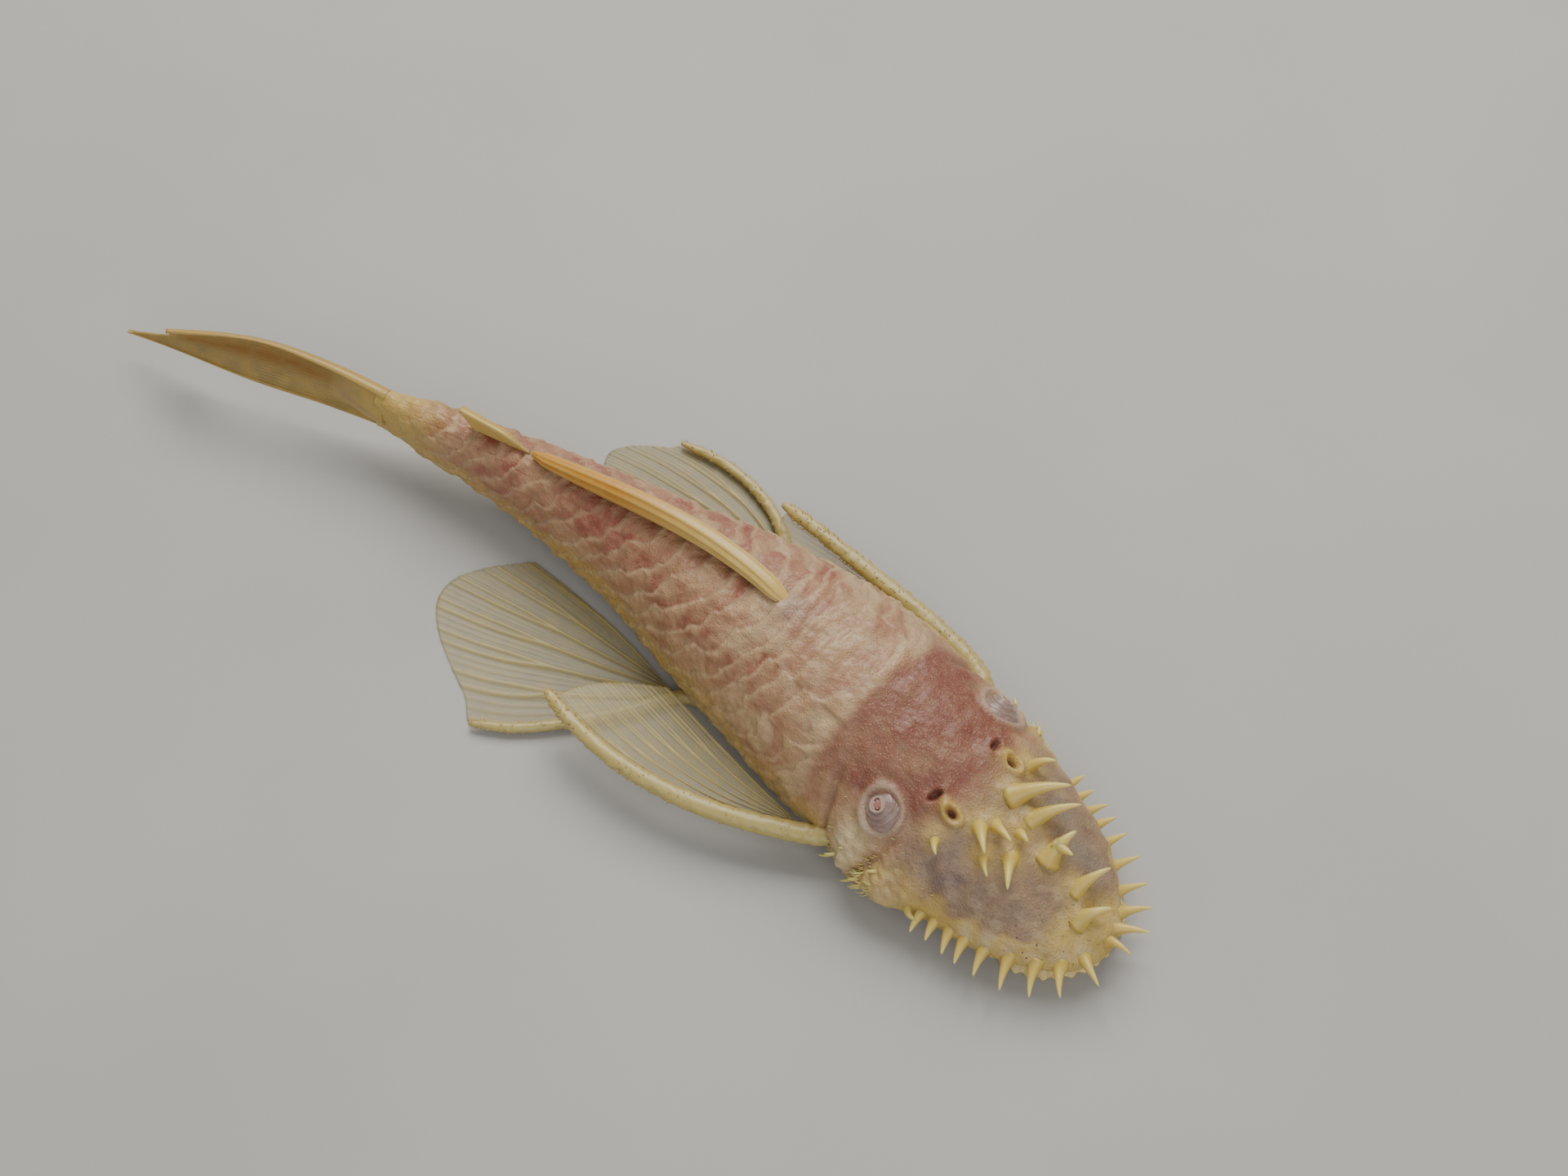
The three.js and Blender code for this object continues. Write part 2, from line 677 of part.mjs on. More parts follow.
// Dorsal fin, folded down along the back
function dorsal() {
  const rings = [];
  const low = (s) => body(s).top + PLATE_STEP + GAP + 0.05;
  const rise = curve([[39.4, 0.5, 0], [43, 1.3, 0], [48, 2, 0], [55, 2.5, 0], [62, 2.4, 0], [68, 1.6, 0], [71, 0.9, 0]]);
  const count = 12;
  for (let i = 0; i <= count; i += 1) {
    const p = rise.getPoint(i / count);
    const s = p.x;
    const half = lerp(0.75, 1.15, Math.sin((Math.PI * i) / count)) * (i === count ? 0.5 : 1);
    const sway = 0.35 * Math.sin(i * 0.45);
    const ring = [];
    for (let k = 0; k < 12; k += 1) {
      const t = (k / 12) * Math.PI * 2;
      const z = low(s) + p.y * (0.5 - 0.5 * Math.cos(t));
      const ridge = k % 2 === 0 ? 1 : 0.78;
      ring.push(place(s, sway * p.y * 0.5 + half * ridge * Math.sin(t), z));
    }
    rings.push(ring);
  }
  const g = loft(rings);
  return g;
}

// Adipose fin, a spine with a small membrane behind it
function adipose() {
  const low = (s) => body(s).top + PLATE_STEP + GAP + 0.05;
  const at = (a, r) => {
    const s0 = 71.6 + 7.9 * r;
    const z0 = low(72) + 0.45 + 1.15 * r;
    const s1 = 71.8 + 6.4 * r;
    return [lerp(s0, s1, a), 0.1, lerp(z0, low(s1), a)];
  };
  return fin(at, 2, 5, (a, r) => (a === 0 ? 1 - 0.4 * r : MEMBRANE), false);
}

// Anal fin, short and folded under the tail
function anal() {
  const high = (s) => body(s).bottom - GAP - 0.1;
  const at = (a, r) => {
    const s0 = 67 + 8 * r;
    const z0 = lerp(high(67) - 0.5, 0.45, smooth(r));
    const s1 = 67.5 + 9.5 * r;
    return [lerp(s0, s1, a), 0, lerp(z0, high(s1), a)];
  };
  return fin(at, 4, 6, rayThickness(0.8), false);
}

const COLOURS = {
  head: ['#96694f', 0.75],
  sucker_mouth: ['#cfae72', 0.7],
  trunk: ['#b99a78', 0.72],
  tail_stem: ['#b08d5f', 0.72],
  caudal_fin: ['#a98a3c', 0.55],
  dorsal_fin: ['#d9a440', 0.5],
  adipose_fin: ['#d8c08a', 0.55],
  anal_fin: ['#c9b070', 0.55],
  pectoral_fin_left: ['#b39a52', 0.55],
  pectoral_fin_right: ['#b39a52', 0.55],
  pelvic_fin_left: ['#c4b070', 0.5],
  pelvic_fin_right: ['#c4b070', 0.5],
  eye_left: ['#b9a5b4', 0.25],
  eye_right: ['#b9a5b4', 0.25],
};

const model = new THREE.Group();
function addPart(name, geometry) {
  const [colour, roughness] = COLOURS[name];
  const material = new THREE.MeshStandardMaterial({ color: colour, roughness, metalness: 0 });
  const mesh = new THREE.Mesh(geometry, material);
  mesh.name = name;
  model.add(mesh);
}

addPart('head', head());
addPart('sucker_mouth', suckerMouth());
addPart('trunk', plated(HEAD_END + GAP + 0.05, TRUNK_END, HEAD_LEAN, PLATE_LEAN));
addPart('tail_stem', plated(TRUNK_END + GAP, TAIL_BASE, PLATE_LEAN, 0));
addPart('caudal_fin', caudal());
addPart('dorsal_fin', dorsal());
addPart('adipose_fin', adipose());
addPart('anal_fin', anal());
for (const [word, side] of [['left', 1], ['right', -1]]) {
  addPart(`pectoral_fin_${word}`, pectoral(side));
  addPart(`pelvic_fin_${word}`, pelvic(side));
  const eye = eyeAt(side);
  addPart(`eye_${word}`, sphereAt(eye.centre, EYE_RADIUS, 18, 12));
}

export default model;
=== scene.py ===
# Bristlenose pleco: skin, fins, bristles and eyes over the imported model.
# Lengths are millimetres, apart from the floor and the lights, which are in metres.
import bpy
import math
import numpy as np
from mathutils import Matrix, Vector


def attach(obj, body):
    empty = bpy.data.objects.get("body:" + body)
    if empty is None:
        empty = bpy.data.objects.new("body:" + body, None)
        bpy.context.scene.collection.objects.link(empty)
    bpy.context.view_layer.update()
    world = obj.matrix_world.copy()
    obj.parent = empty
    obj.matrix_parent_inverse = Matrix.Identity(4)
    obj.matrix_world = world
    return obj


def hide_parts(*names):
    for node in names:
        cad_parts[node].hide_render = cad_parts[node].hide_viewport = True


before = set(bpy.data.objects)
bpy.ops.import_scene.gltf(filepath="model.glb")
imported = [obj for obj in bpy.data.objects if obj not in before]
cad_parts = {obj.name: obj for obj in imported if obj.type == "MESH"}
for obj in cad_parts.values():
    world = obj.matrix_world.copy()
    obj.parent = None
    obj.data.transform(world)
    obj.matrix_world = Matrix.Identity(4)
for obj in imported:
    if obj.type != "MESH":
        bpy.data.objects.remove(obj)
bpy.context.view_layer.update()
MM = 0.001

# Driving dimensions. The body is slimmer than the solids, by up to about 2 mm on the left of
# the head, 1 mm a side at the tail stem and 1.5 mm above and below at the tail's end.
ORIGIN_S = 36.0
TAIL_BASE = 88.0
LOBE_LOWER = 118.0
LOBE_UPPER = 112.5
BEND_START, BEND_LENGTH, BEND_ANGLE, BEND_POWER = 40.0, 45.0, math.radians(13.7), 1.3
HEAD_TURN, HEAD_TURN_FROM, HEAD_TURN_TO = math.radians(6.4), 36.0, 18.0
SNOUT_ROUND, SNOUT_ROUND_UP, SNOUT_HEIGHT = 10.0, 2.2, 3.0
POWER_HEAD, POWER_TRUNK, POWER_LOW = 1.85, 2.15, 3.6
CHEEK_S, CHEEK_LENGTH, CHEEK_OUT, CHEEK_LEFT = 20.0, 3.4, 1.1, 0.35
HEAD_ROLL, HEAD_ROLL_FROM, HEAD_ROLL_TO = 0.6, 24.0, 40.0
EYE_S, EYE_OUT, EYE_RADIUS = 21.6, 7.6, 2.3
NOSTRIL_S, NOSTRIL_OUT = 16.8, 3.8
STATIONS = np.array([
    [0, 6.5, 4.0, 3.0, 2.3],
    [4, 7.2, 6.0, 3.2, 2.2],
    [10, 8.6, 8.5, 3.5, 1.9],
    [16, 9.7, 10.7, 3.8, 0.7],
    [22, 10.3, 12.4, 4.0, -0.1],
    [28, 10.5, 13.4, 4.4, -0.15],
    [34, 10.3, 14.0, 4.7, -0.15],
    [40, 9.4, 14.2, 4.9, -0.15],
    [48, 8.0, 13.6, 5.0, -0.1],
    [56, 6.0, 12.5, 5.1, 0.6],
    [64, 4.6, 11.3, 5.4, 1.4],
    [72, 3.4, 10.2, 5.7, 2.2],
    [80, 2.5, 9.3, 6.0, 2.8],
    [88, 1.9, 8.9, 6.1, 3.3],
])


def smooth(t):
    t = np.clip(t, 0, 1)
    return t * t * (3 - 2 * t)


def step(a, b, x):
    return smooth((x - a) / (b - a))


def bump(x, centre, width):
    return np.exp(-((x - centre) / width) ** 2)


def station(column, s):
    x = STATIONS[:, 0]
    y = STATIONS[:, column]
    m = np.gradient(y, x)
    s = np.clip(s, x[0], x[-1])
    i = np.clip(np.searchsorted(x, s, side="right") - 1, 0, len(x) - 2)
    h = x[i + 1] - x[i]
    t = (s - x[i]) / h
    start = (2 * t**3 - 3 * t**2 + 1) * y[i] + (t**3 - 2 * t**2 + t) * h * m[i]
    return start + (3 * t**2 - 2 * t**3) * y[i + 1] + (t**3 - t**2) * h * m[i + 1]


def body(s):
    r = np.sqrt(1 - np.clip(1 - s / SNOUT_ROUND, 0, 1) ** 2)
    q = np.sqrt(1 - np.clip(1 - s / SNOUT_ROUND_UP, 0, 1) ** 2)
    high = [SNOUT_HEIGHT + (station(k, s) - SNOUT_HEIGHT) * q for k in (2, 3, 4)]
    return station(1, s) * r, high[0], high[1], high[2]


def upper_power(s):
    return POWER_HEAD + (POWER_TRUNK - POWER_HEAD) * smooth((s - 20) / 18)


def section(s, side, angle):
    width, top, edge, bottom = body(s)
    c = np.maximum(np.cos(angle), 0)
    n = np.abs(np.sin(angle))
    puffed = CHEEK_OUT * np.where(np.asarray(side) > 0, CHEEK_LEFT, 1.0)
    cheek = puffed * np.exp(-((s - CHEEK_S) / CHEEK_LENGTH) ** 2 - (angle / 0.45) ** 2)
    roll = HEAD_ROLL * (1 - step(HEAD_ROLL_FROM, HEAD_ROLL_TO, s))
    p = upper_power(s)
    y = width * np.where(angle >= 0, c ** (2 / p), c ** (2 / POWER_LOW)) + cheek
    share = n ** (2 / p)
    up = edge + (top - edge) * share
    low = np.maximum(0, edge - (edge - bottom) * n ** (2 / POWER_LOW))
    return side * y - roll * np.where(angle >= 0, 1 - share, 1), np.where(angle >= 0, up, low)


def heading(s):
    tail = np.maximum(s - BEND_START, 0) / BEND_LENGTH
    nose = np.clip((HEAD_TURN_FROM - s) / (HEAD_TURN_FROM - HEAD_TURN_TO), 0, 1)
    return BEND_ANGLE * tail**BEND_POWER - HEAD_TURN * smooth(nose)


LINE_STEP = 0.05
LINE_S = np.arange(-10, 140, LINE_STEP)
LINE_HEADING = heading(LINE_S[:-1] + LINE_STEP / 2)
LINE_X = np.concatenate([[0], np.cumsum(-np.cos(LINE_HEADING) * LINE_STEP)])
LINE_Y = np.concatenate([[0], np.cumsum(-np.sin(LINE_HEADING) * LINE_STEP)])
LINE_X -= np.interp(ORIGIN_S, LINE_S, LINE_X)
LINE_Y -= np.interp(ORIGIN_S, LINE_S, LINE_Y)


def place(s, y, z):
    s, y, z = np.broadcast_arrays(*[np.asarray(v, float) for v in (s, y, z)])
    h = heading(s)
    x = np.interp(s, LINE_S, LINE_X) - np.sin(h) * y
    return np.stack([x, np.interp(s, LINE_S, LINE_Y) + np.cos(h) * y, z], -1)


def waves(p, size, seed, count=14):
    """Soft seeded noise from sine waves, about -1 to 1, with features of the given size."""
    rng = np.random.default_rng(seed)
    k = rng.normal(size=(count, p.shape[-1]))
    k *= (2 * math.pi / size) * rng.uniform(0.6, 1.4, (count, 1)) / np.linalg.norm(k, axis=1)[:, None]
    phase = rng.uniform(0, 2 * math.pi, count)
    total = np.zeros(p.shape[:-1])
    for i in range(count):
        total += np.sin(p @ k[i] + phase[i])
    return total / math.sqrt(count) / 1.2


def grid_faces(rows, columns, wrap):
    i = np.arange(rows - 1)[:, None]
    j = np.arange(columns if wrap else columns - 1)[None, :]
    k = (j + 1) % columns
    a, b = i * columns + j, i * columns + k
    return np.stack([a, b, b + columns, a + columns], -1).reshape(-1, 4)


def outward(points, faces):
    p = points[faces[:, :3]]
    volume = np.einsum("ij,ij->i", p[:, 0], np.cross(p[:, 1], p[:, 2])).sum()
    return faces if volume > 0 else faces[:, ::-1]


def mesh_piece(name, points, faces, material, masks=None, replaces=()):
    """A Blender object from millimetre points, quads and triangles, with vertex masks."""
    me = bpy.data.meshes.new(name)
    corners = np.concatenate([np.asarray(f).ravel() for f in faces])
    sizes = np.concatenate([np.full(len(f), np.asarray(f).shape[1]) for f in faces])
    me.vertices.add(len(points))
    me.vertices.foreach_set("co", (np.asarray(points, float) * MM).ravel())
    me.loops.add(len(corners))
    me.loops.foreach_set("vertex_index", corners.astype(np.int32))
    me.polygons.add(len(sizes))
    starts = np.concatenate([[0], np.cumsum(sizes)[:-1]])
    me.polygons.foreach_set("loop_start", starts.astype(np.int32))
    me.polygons.foreach_set("use_smooth", np.ones(len(sizes), bool))
    me.update(calc_edges=True)
    me.validate()
    for key, values in (masks or {}).items():
        layer = me.attributes.new(key, "FLOAT", "POINT")
        layer.data.foreach_set("value", np.asarray(values, np.float32).ravel())
    me.materials.append(material)
    piece = bpy.data.objects.new(name, me)
    bpy.context.scene.collection.objects.link(piece)
    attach(piece, "root")
    if replaces:
        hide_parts(*replaces)
    return piece


# Materials
def linear(rgb):
    c = np.array(rgb, float) / 255
    out = np.where(c <= 0.04045, c / 12.92, ((c + 0.055) / 1.055) ** 2.4)
    return (float(out[0]), float(out[1]), float(out[2]), 1.0)


class Look:
    """A small helper that builds a node material around one Principled shader."""

    def __init__(self, name, roughness, coat=0.0, scatter=0.0, scatter_mm=1.0):
        self.material = bpy.data.materials.new(name)
        self.material.use_nodes = True
        self.nodes = self.material.node_tree.nodes
        self.links = self.material.node_tree.links
        self.shader = self.nodes["Principled BSDF"]
        self.shader.inputs["Roughness"].default_value = roughness
        self.shader.inputs["Coat Weight"].default_value = coat
        self.shader.inputs["Coat Roughness"].default_value = 0.25
        self.shader.inputs["Subsurface Weight"].default_value = scatter
        self.shader.inputs["Subsurface Radius"].default_value = (1.0, 0.5, 0.3)
        self.shader.inputs["Subsurface Scale"].default_value = scatter_mm * MM
        self.coords = self.nodes.new("ShaderNodeTexCoord").outputs["Object"]

    def put(self, value, socket):
        if isinstance(value, bpy.types.NodeSocket):
            self.links.new(value, socket)
        else:
            socket.default_value = value

    def mask(self, name):
        node = self.nodes.new("ShaderNodeAttribute")
        node.attribute_name = name
        return node.outputs["Fac"]

    def noise(self, size_mm, detail=4.0, rough=0.55):
        node = self.nodes.new("ShaderNodeTexNoise")
        self.links.new(self.coords, node.inputs["Vector"])
        node.inputs["Scale"].default_value = 1 / (size_mm * MM)
        node.inputs["Detail"].default_value = detail
        node.inputs["Roughness"].default_value = rough
        return node.outputs["Fac"]

    def cells(self, size_mm):
        node = self.nodes.new("ShaderNodeTexVoronoi")
        self.links.new(self.coords, node.inputs["Vector"])
        node.inputs["Scale"].default_value = 1 / (size_mm * MM)
        return node.outputs["Distance"]

    def math(self, kind, a, b=0.0):
        node = self.nodes.new("ShaderNodeMath")
        node.operation = kind
        self.put(a, node.inputs[0])
        self.put(b, node.inputs[1])
        return node.outputs[0]

    def span(self, value, low, high, to_low=0.0, to_high=1.0):
        node = self.nodes.new("ShaderNodeMapRange")
        node.interpolation_type = "SMOOTHSTEP"
        self.put(value, node.inputs["Value"])
        for key, number in (("From Min", low), ("From Max", high), ("To Min", to_low), ("To Max", to_high)):
            node.inputs[key].default_value = number
        return node.outputs["Result"]

    def mix(self, factor, a, b):
        node = self.nodes.new("ShaderNodeMix")
        node.data_type = "RGBA"
        self.put(factor, node.inputs[0])
        self.put(linear(a) if isinstance(a, tuple) else a, node.inputs[6])
        self.put(linear(b) if isinstance(b, tuple) else b, node.inputs[7])
        return node.outputs[2]

    def times(self, *factors):
        out = factors[0]
        for f in factors[1:]:
            out = self.math("MULTIPLY", out, f)
        return out

    def finish(self, colour, height=None, depth_mm=0.05, roughness=None):
        self.put(colour, self.shader.inputs["Base Color"])
        if roughness is not None:
            self.put(roughness, self.shader.inputs["Roughness"])
        if height is not None:
            node = self.nodes.new("ShaderNodeBump")
            node.inputs["Strength"].default_value = 1.0
            node.inputs["Distance"].default_value = depth_mm * MM
            self.put(height, node.inputs["Height"])
            self.links.new(node.outputs["Normal"], self.shader.inputs["Normal"])
        return self.material


def skin_material():
    k = Look("skin", 0.5, coat=0.12, scatter=0.22, scatter_mm=1.6)
    fine = k.noise(0.35, 3)
    broad = k.noise(3.2, 5, 0.6)
    middle = k.noise(1.1, 4, 0.6)
    grain = k.cells(0.26)
    colour = k.mix(k.span(broad, 0.35, 0.68), (172, 136, 98), (152, 108, 78))
    # red: the skin's own red, partly painted shade in the recesses behind the plate edges
    colour = k.mix(k.times(k.mask("red"), k.span(middle, 0.3, 0.62, 0.45, 1.0)), colour, (138, 72, 54))
    colour = k.mix(k.times(k.mask("head_red"), k.span(fine, 0.3, 0.7, 0.8, 1.0)), colour, (118, 62, 46))
    colour = k.mix(k.times(k.mask("snout"), k.span(broad, 0.3, 0.7, 0.6, 0.95)), colour, (122, 100, 76))
    colour = k.mix(k.times(k.mask("yellow"), k.span(middle, 0.25, 0.6, 0.75, 1.0)), colour, (186, 155, 78))
    colour = k.mix(k.times(k.mask("cream"), k.span(middle, 0.3, 0.6, 0.6, 1.0)), colour, (193, 173, 130))
    mottle = k.times(k.span(k.noise(1.9, 5, 0.65), 0.5, 0.66), k.math("SUBTRACT", 1.0, k.mask("dark")))
    colour = k.mix(k.times(mottle, 0.3), colour, (150, 128, 84))
    colour = k.mix(k.mask("lids"), colour, (166, 144, 126))
    # grey: the snout's own greyish skin, partly painted shade on the far slope
    colour = k.mix(k.mask("grey"), colour, (128, 112, 94))
    colour = k.mix(k.times(k.mask("violet"), k.span(broad, 0.3, 0.6, 0.3, 0.9)), colour, (114, 92, 88))
    colour = k.mix(k.times(k.span(grain, 0.02, 0.5, 1, 0), k.mask("grains")), colour, (170, 132, 100))
    # Dark plate seams, and painted shade in the notch between the cheek lumps
    colour = k.mix(k.mask("seams_and_shade"), colour, (134, 92, 74))
    # dark: painted shade inside the nostril holes
    colour = k.mix(k.mask("dark"), colour, (112, 46, 38))
    speck = k.times(k.span(k.noise(0.55, 2), 0.66, 0.72), k.mask("dirt"))
    colour = k.mix(speck, colour, (58, 44, 34))
    lumps = k.math("ADD", k.times(k.span(grain, 0.0, 0.6, 1, 0), 0.6), k.times(fine, 0.5))
    rough = k.span(fine, 0.3, 0.7, 0.42, 0.6)
    return k.finish(colour, lumps, 0.085, rough)


def bristle_material():
    k = Look("bristle_flesh", 0.42, coat=0.2, scatter=0.35, scatter_mm=1.2)
    fine = k.noise(0.5, 3)
    colour = k.mix(k.mask("tip"), (196, 168, 76), (210, 192, 114))
    colour = k.mix(k.times(k.mask("root"), k.span(fine, 0.3, 0.7, 0.4, 1.0)), colour, (184, 150, 64))
    colour = k.mix(k.span(k.noise(0.3, 2), 0.72, 0.8), colour, (120, 92, 56))
    return k.finish(colour, fine, 0.04)


def fin_material(name, membrane, ray, deep, opacity, ray_shade=0.85):
    k = Look(name, 0.4, coat=0.15, scatter=0.1, scatter_mm=0.6)
    streak = k.noise(1.6, 4, 0.6)
    colour = k.mix(k.span(streak, 0.3, 0.7), membrane, ray)
    colour = k.mix(k.times(k.mask("ray"), ray_shade), colour, ray)
    colour = k.mix(k.times(k.mask("deep"), k.span(streak, 0.25, 0.6, 0.5, 1.0)), colour, deep)
    dots = k.times(k.span(k.cells(0.75), 0.14, 0.24, 1, 0), k.mask("dots"))
    colour = k.mix(k.times(dots, 0.75), colour, (128, 92, 40))
    see = k.math("MAXIMUM", k.times(k.mask("ray"), 0.7), k.mask("deep"))
    alpha = k.span(k.math("MAXIMUM", see, k.mask("dots")), 0, 0.8, opacity, 1.0)
    k.put(alpha, k.shader.inputs["Alpha"])
    return k.finish(colour, k.math("ADD", streak, k.times(k.noise(0.3, 3), 0.5)), 0.05)


def eye_material():
    k = Look("eye_surface", 0.28, coat=0.35, scatter=0.15, scatter_mm=0.5)
    fine = k.noise(0.4, 3)
    colour = k.mix(k.span(fine, 0.3, 0.7), (134, 108, 98), (152, 128, 116))
    # ring: painted shade in the grooves between the folded rings and round the raised disc
    colour = k.mix(k.mask("ring"), colour, (112, 84, 74))
    colour = k.mix(k.mask("disc"), colour, (170, 144, 126))
    colour = k.mix(k.times(k.mask("pink"), 0.8), colour, (156, 98, 82))
    colour = k.mix(k.mask("pupil"), colour, (70, 22, 18))
    return k.finish(colour, fine, 0.02)


def mouth_material():
    k = Look("mouth_flesh", 0.4, coat=0.25, scatter=0.35, scatter_mm=1.5)
    fine = k.noise(0.5, 3)
    colour = k.mix(k.span(fine, 0.3, 0.7), (206, 176, 104), (222, 198, 136))
    colour = k.mix(k.mask("inside"), colour, (196, 130, 104))
    colour = k.mix(k.mask("teeth"), colour, (150, 92, 40))
    return k.finish(colour, k.cells(0.5), 0.06)


SKIN = skin_material()
BRISTLE = bristle_material()
FIN_PALE = fin_material("fin_pale", (156, 146, 102), (178, 158, 90), (184, 136, 54), 0.27, 0.7)
FIN_DARK = fin_material("fin_dark", (152, 130, 74), (182, 148, 74), (138, 92, 30), 0.78, 0.6)
FIN_FOLDED = fin_material("fin_folded", (190, 156, 78), (200, 168, 92), (188, 124, 20), 1.0, 0.6)
EYE = eye_material()
MOUTH = mouth_material()

# Bristles: distance from the snout, side offset, length, heading in degrees from +X,
# rise of the tip, root radius and, on top of the snout, the turn of a branch.
RIM_BRISTLES = [
    (13.9, 9.6, 1.7, -72), (12.5, 9.4, 1.6, -66), (11, 9.1, 1.9, -62),
    (9.5, 8.8, 1.9, -62), (7.7, 8, 2.1, -62), (5.7, 7, 2.5, -60),
    (3.7, 5.8, 2.5, -54), (2.1, 4.1, 2.6, -46), (1.2, 2.2, 2.9, -26),
]
TOP_BRISTLES = [
    (1, 0.3, 2.8, 0, 0, 0.55, 0), (3.5, -0.7, 2.9, 52, 0.7, 0.8, 0),
    (5.5, 0.8, 3.4, 66, 0.8, 0.72, 0), (8.9, 0.7, 3, 78, 1, 0.9, -1.4),
    (11, -2.1, 3.8, -55, 1, 0.72, 0), (12, -0.2, 1.6, -20, 0.6, 0.65, 0),
    (12.2, 1.8, 4.3, 50, 0.9, 0.8, 0), (12.6, -3.9, 2.4, -40, 0.6, 0.5, 0),
    (13.9, -1.4, 2.8, -18, 1, 0.68, 0), (14.7, 1.9, 5, 44, 0.8, 0.9, 0),
    (14.6, -2.4, 3.4, -44, 1, 0.75, 0), (16, 5.1, 2.4, 38, 0.8, 0.6, 0),
    (16.5, -5.9, 2, -45, 0.8, 0.5, 0), (15.4, -10, 2, -10, 0, 0.55, 0),
]


def angle_for(s, out):
    width = body(s)[0]
    return np.arccos(np.clip(out / width, 0, 1) ** (upper_power(s) / 2))


def surface(s, side, angle):
    e = 0.02
    p = place(s, *section(s, side, angle))
    along = place(s + 0.3, *section(s, side, angle)) - p
    a = place(s, *section(s, side, min(angle + e, math.pi / 2)))
    b = place(s, *section(s, side, max(angle - e, -math.pi / 2)))
    n = np.cross(along, a - b) * side
    return p, n / np.linalg.norm(n)


# The skin: one surface from the lips to the tail fin
def arc_angles(count):
    a = np.linspace(-math.pi / 2, math.pi / 2, 2000)
    y, z = section(np.full(2000, 30.0), 1, a)
    length = np.concatenate([[0], np.cumsum(np.hypot(np.diff(y), np.diff(z)))])
    return np.interp(np.linspace(0, length[-1], count), length, a)


PLATE_ROWS = np.radians([-52, -25, 8, 36, 62, 90])
PLATE_STARTS = 27.5
PLATE_PITCH = 2.66
NAPE_PITCH_MORE = 1.5


def plates(s, angle, height, side):
    """Overlapping bony plates: rise, place along a plate (0 front, 1 rear edge), closeness
    to the edge of a row, and how far the point is on the nape with its larger plates."""
    row = np.clip(np.searchsorted(PLATE_ROWS, angle) - 1, 0, 4)
    v = (angle - PLATE_ROWS[row]) / (PLATE_ROWS[row + 1] - PLATE_ROWS[row])
    nape = step(42, 33, s) * step(20, 45, np.degrees(angle))
    pitch = PLATE_PITCH + NAPE_PITCH_MORE * nape
    wobble = np.stack([s, height * 1.3, side * 9.0 + 0 * s], -1)
    warp = 0.55 * waves(wobble, 6.5, 3) + 1.3 * nape * waves(wobble, 5.5, 8) + 0.3 * waves(wobble, 2.2, 5)
    lean = -1.05 * (height - 5) + 0.25 * step(20, 70, np.degrees(angle))
    bow = 0.2 * (1 - (2 * v - 1) ** 2) - 0.2 * (v - 0.5)
    u = s - lean + warp + bow + (0.08 + 0.4 * nape) * row * pitch
    q = (u - PLATE_STARTS) / pitch
    f = q - np.floor(q)
    rise = f**1.2 * (1 - step(0.78, 1.0, f)) + 0.12 * np.sin(2 * math.pi * (2 * f + 0.3 * v))
    across = np.exp(-(np.minimum(v, 1 - v) / 0.09) ** 2) * (0.35 + 0.65 * nape)
    return rise, f, across, nape


SKIN_END = TAIL_BASE + 1.2
HEAD_SPAN = 30
HEAD_RINGS, TRUNK_RINGS = 190, 420
HALF_POINTS = 190


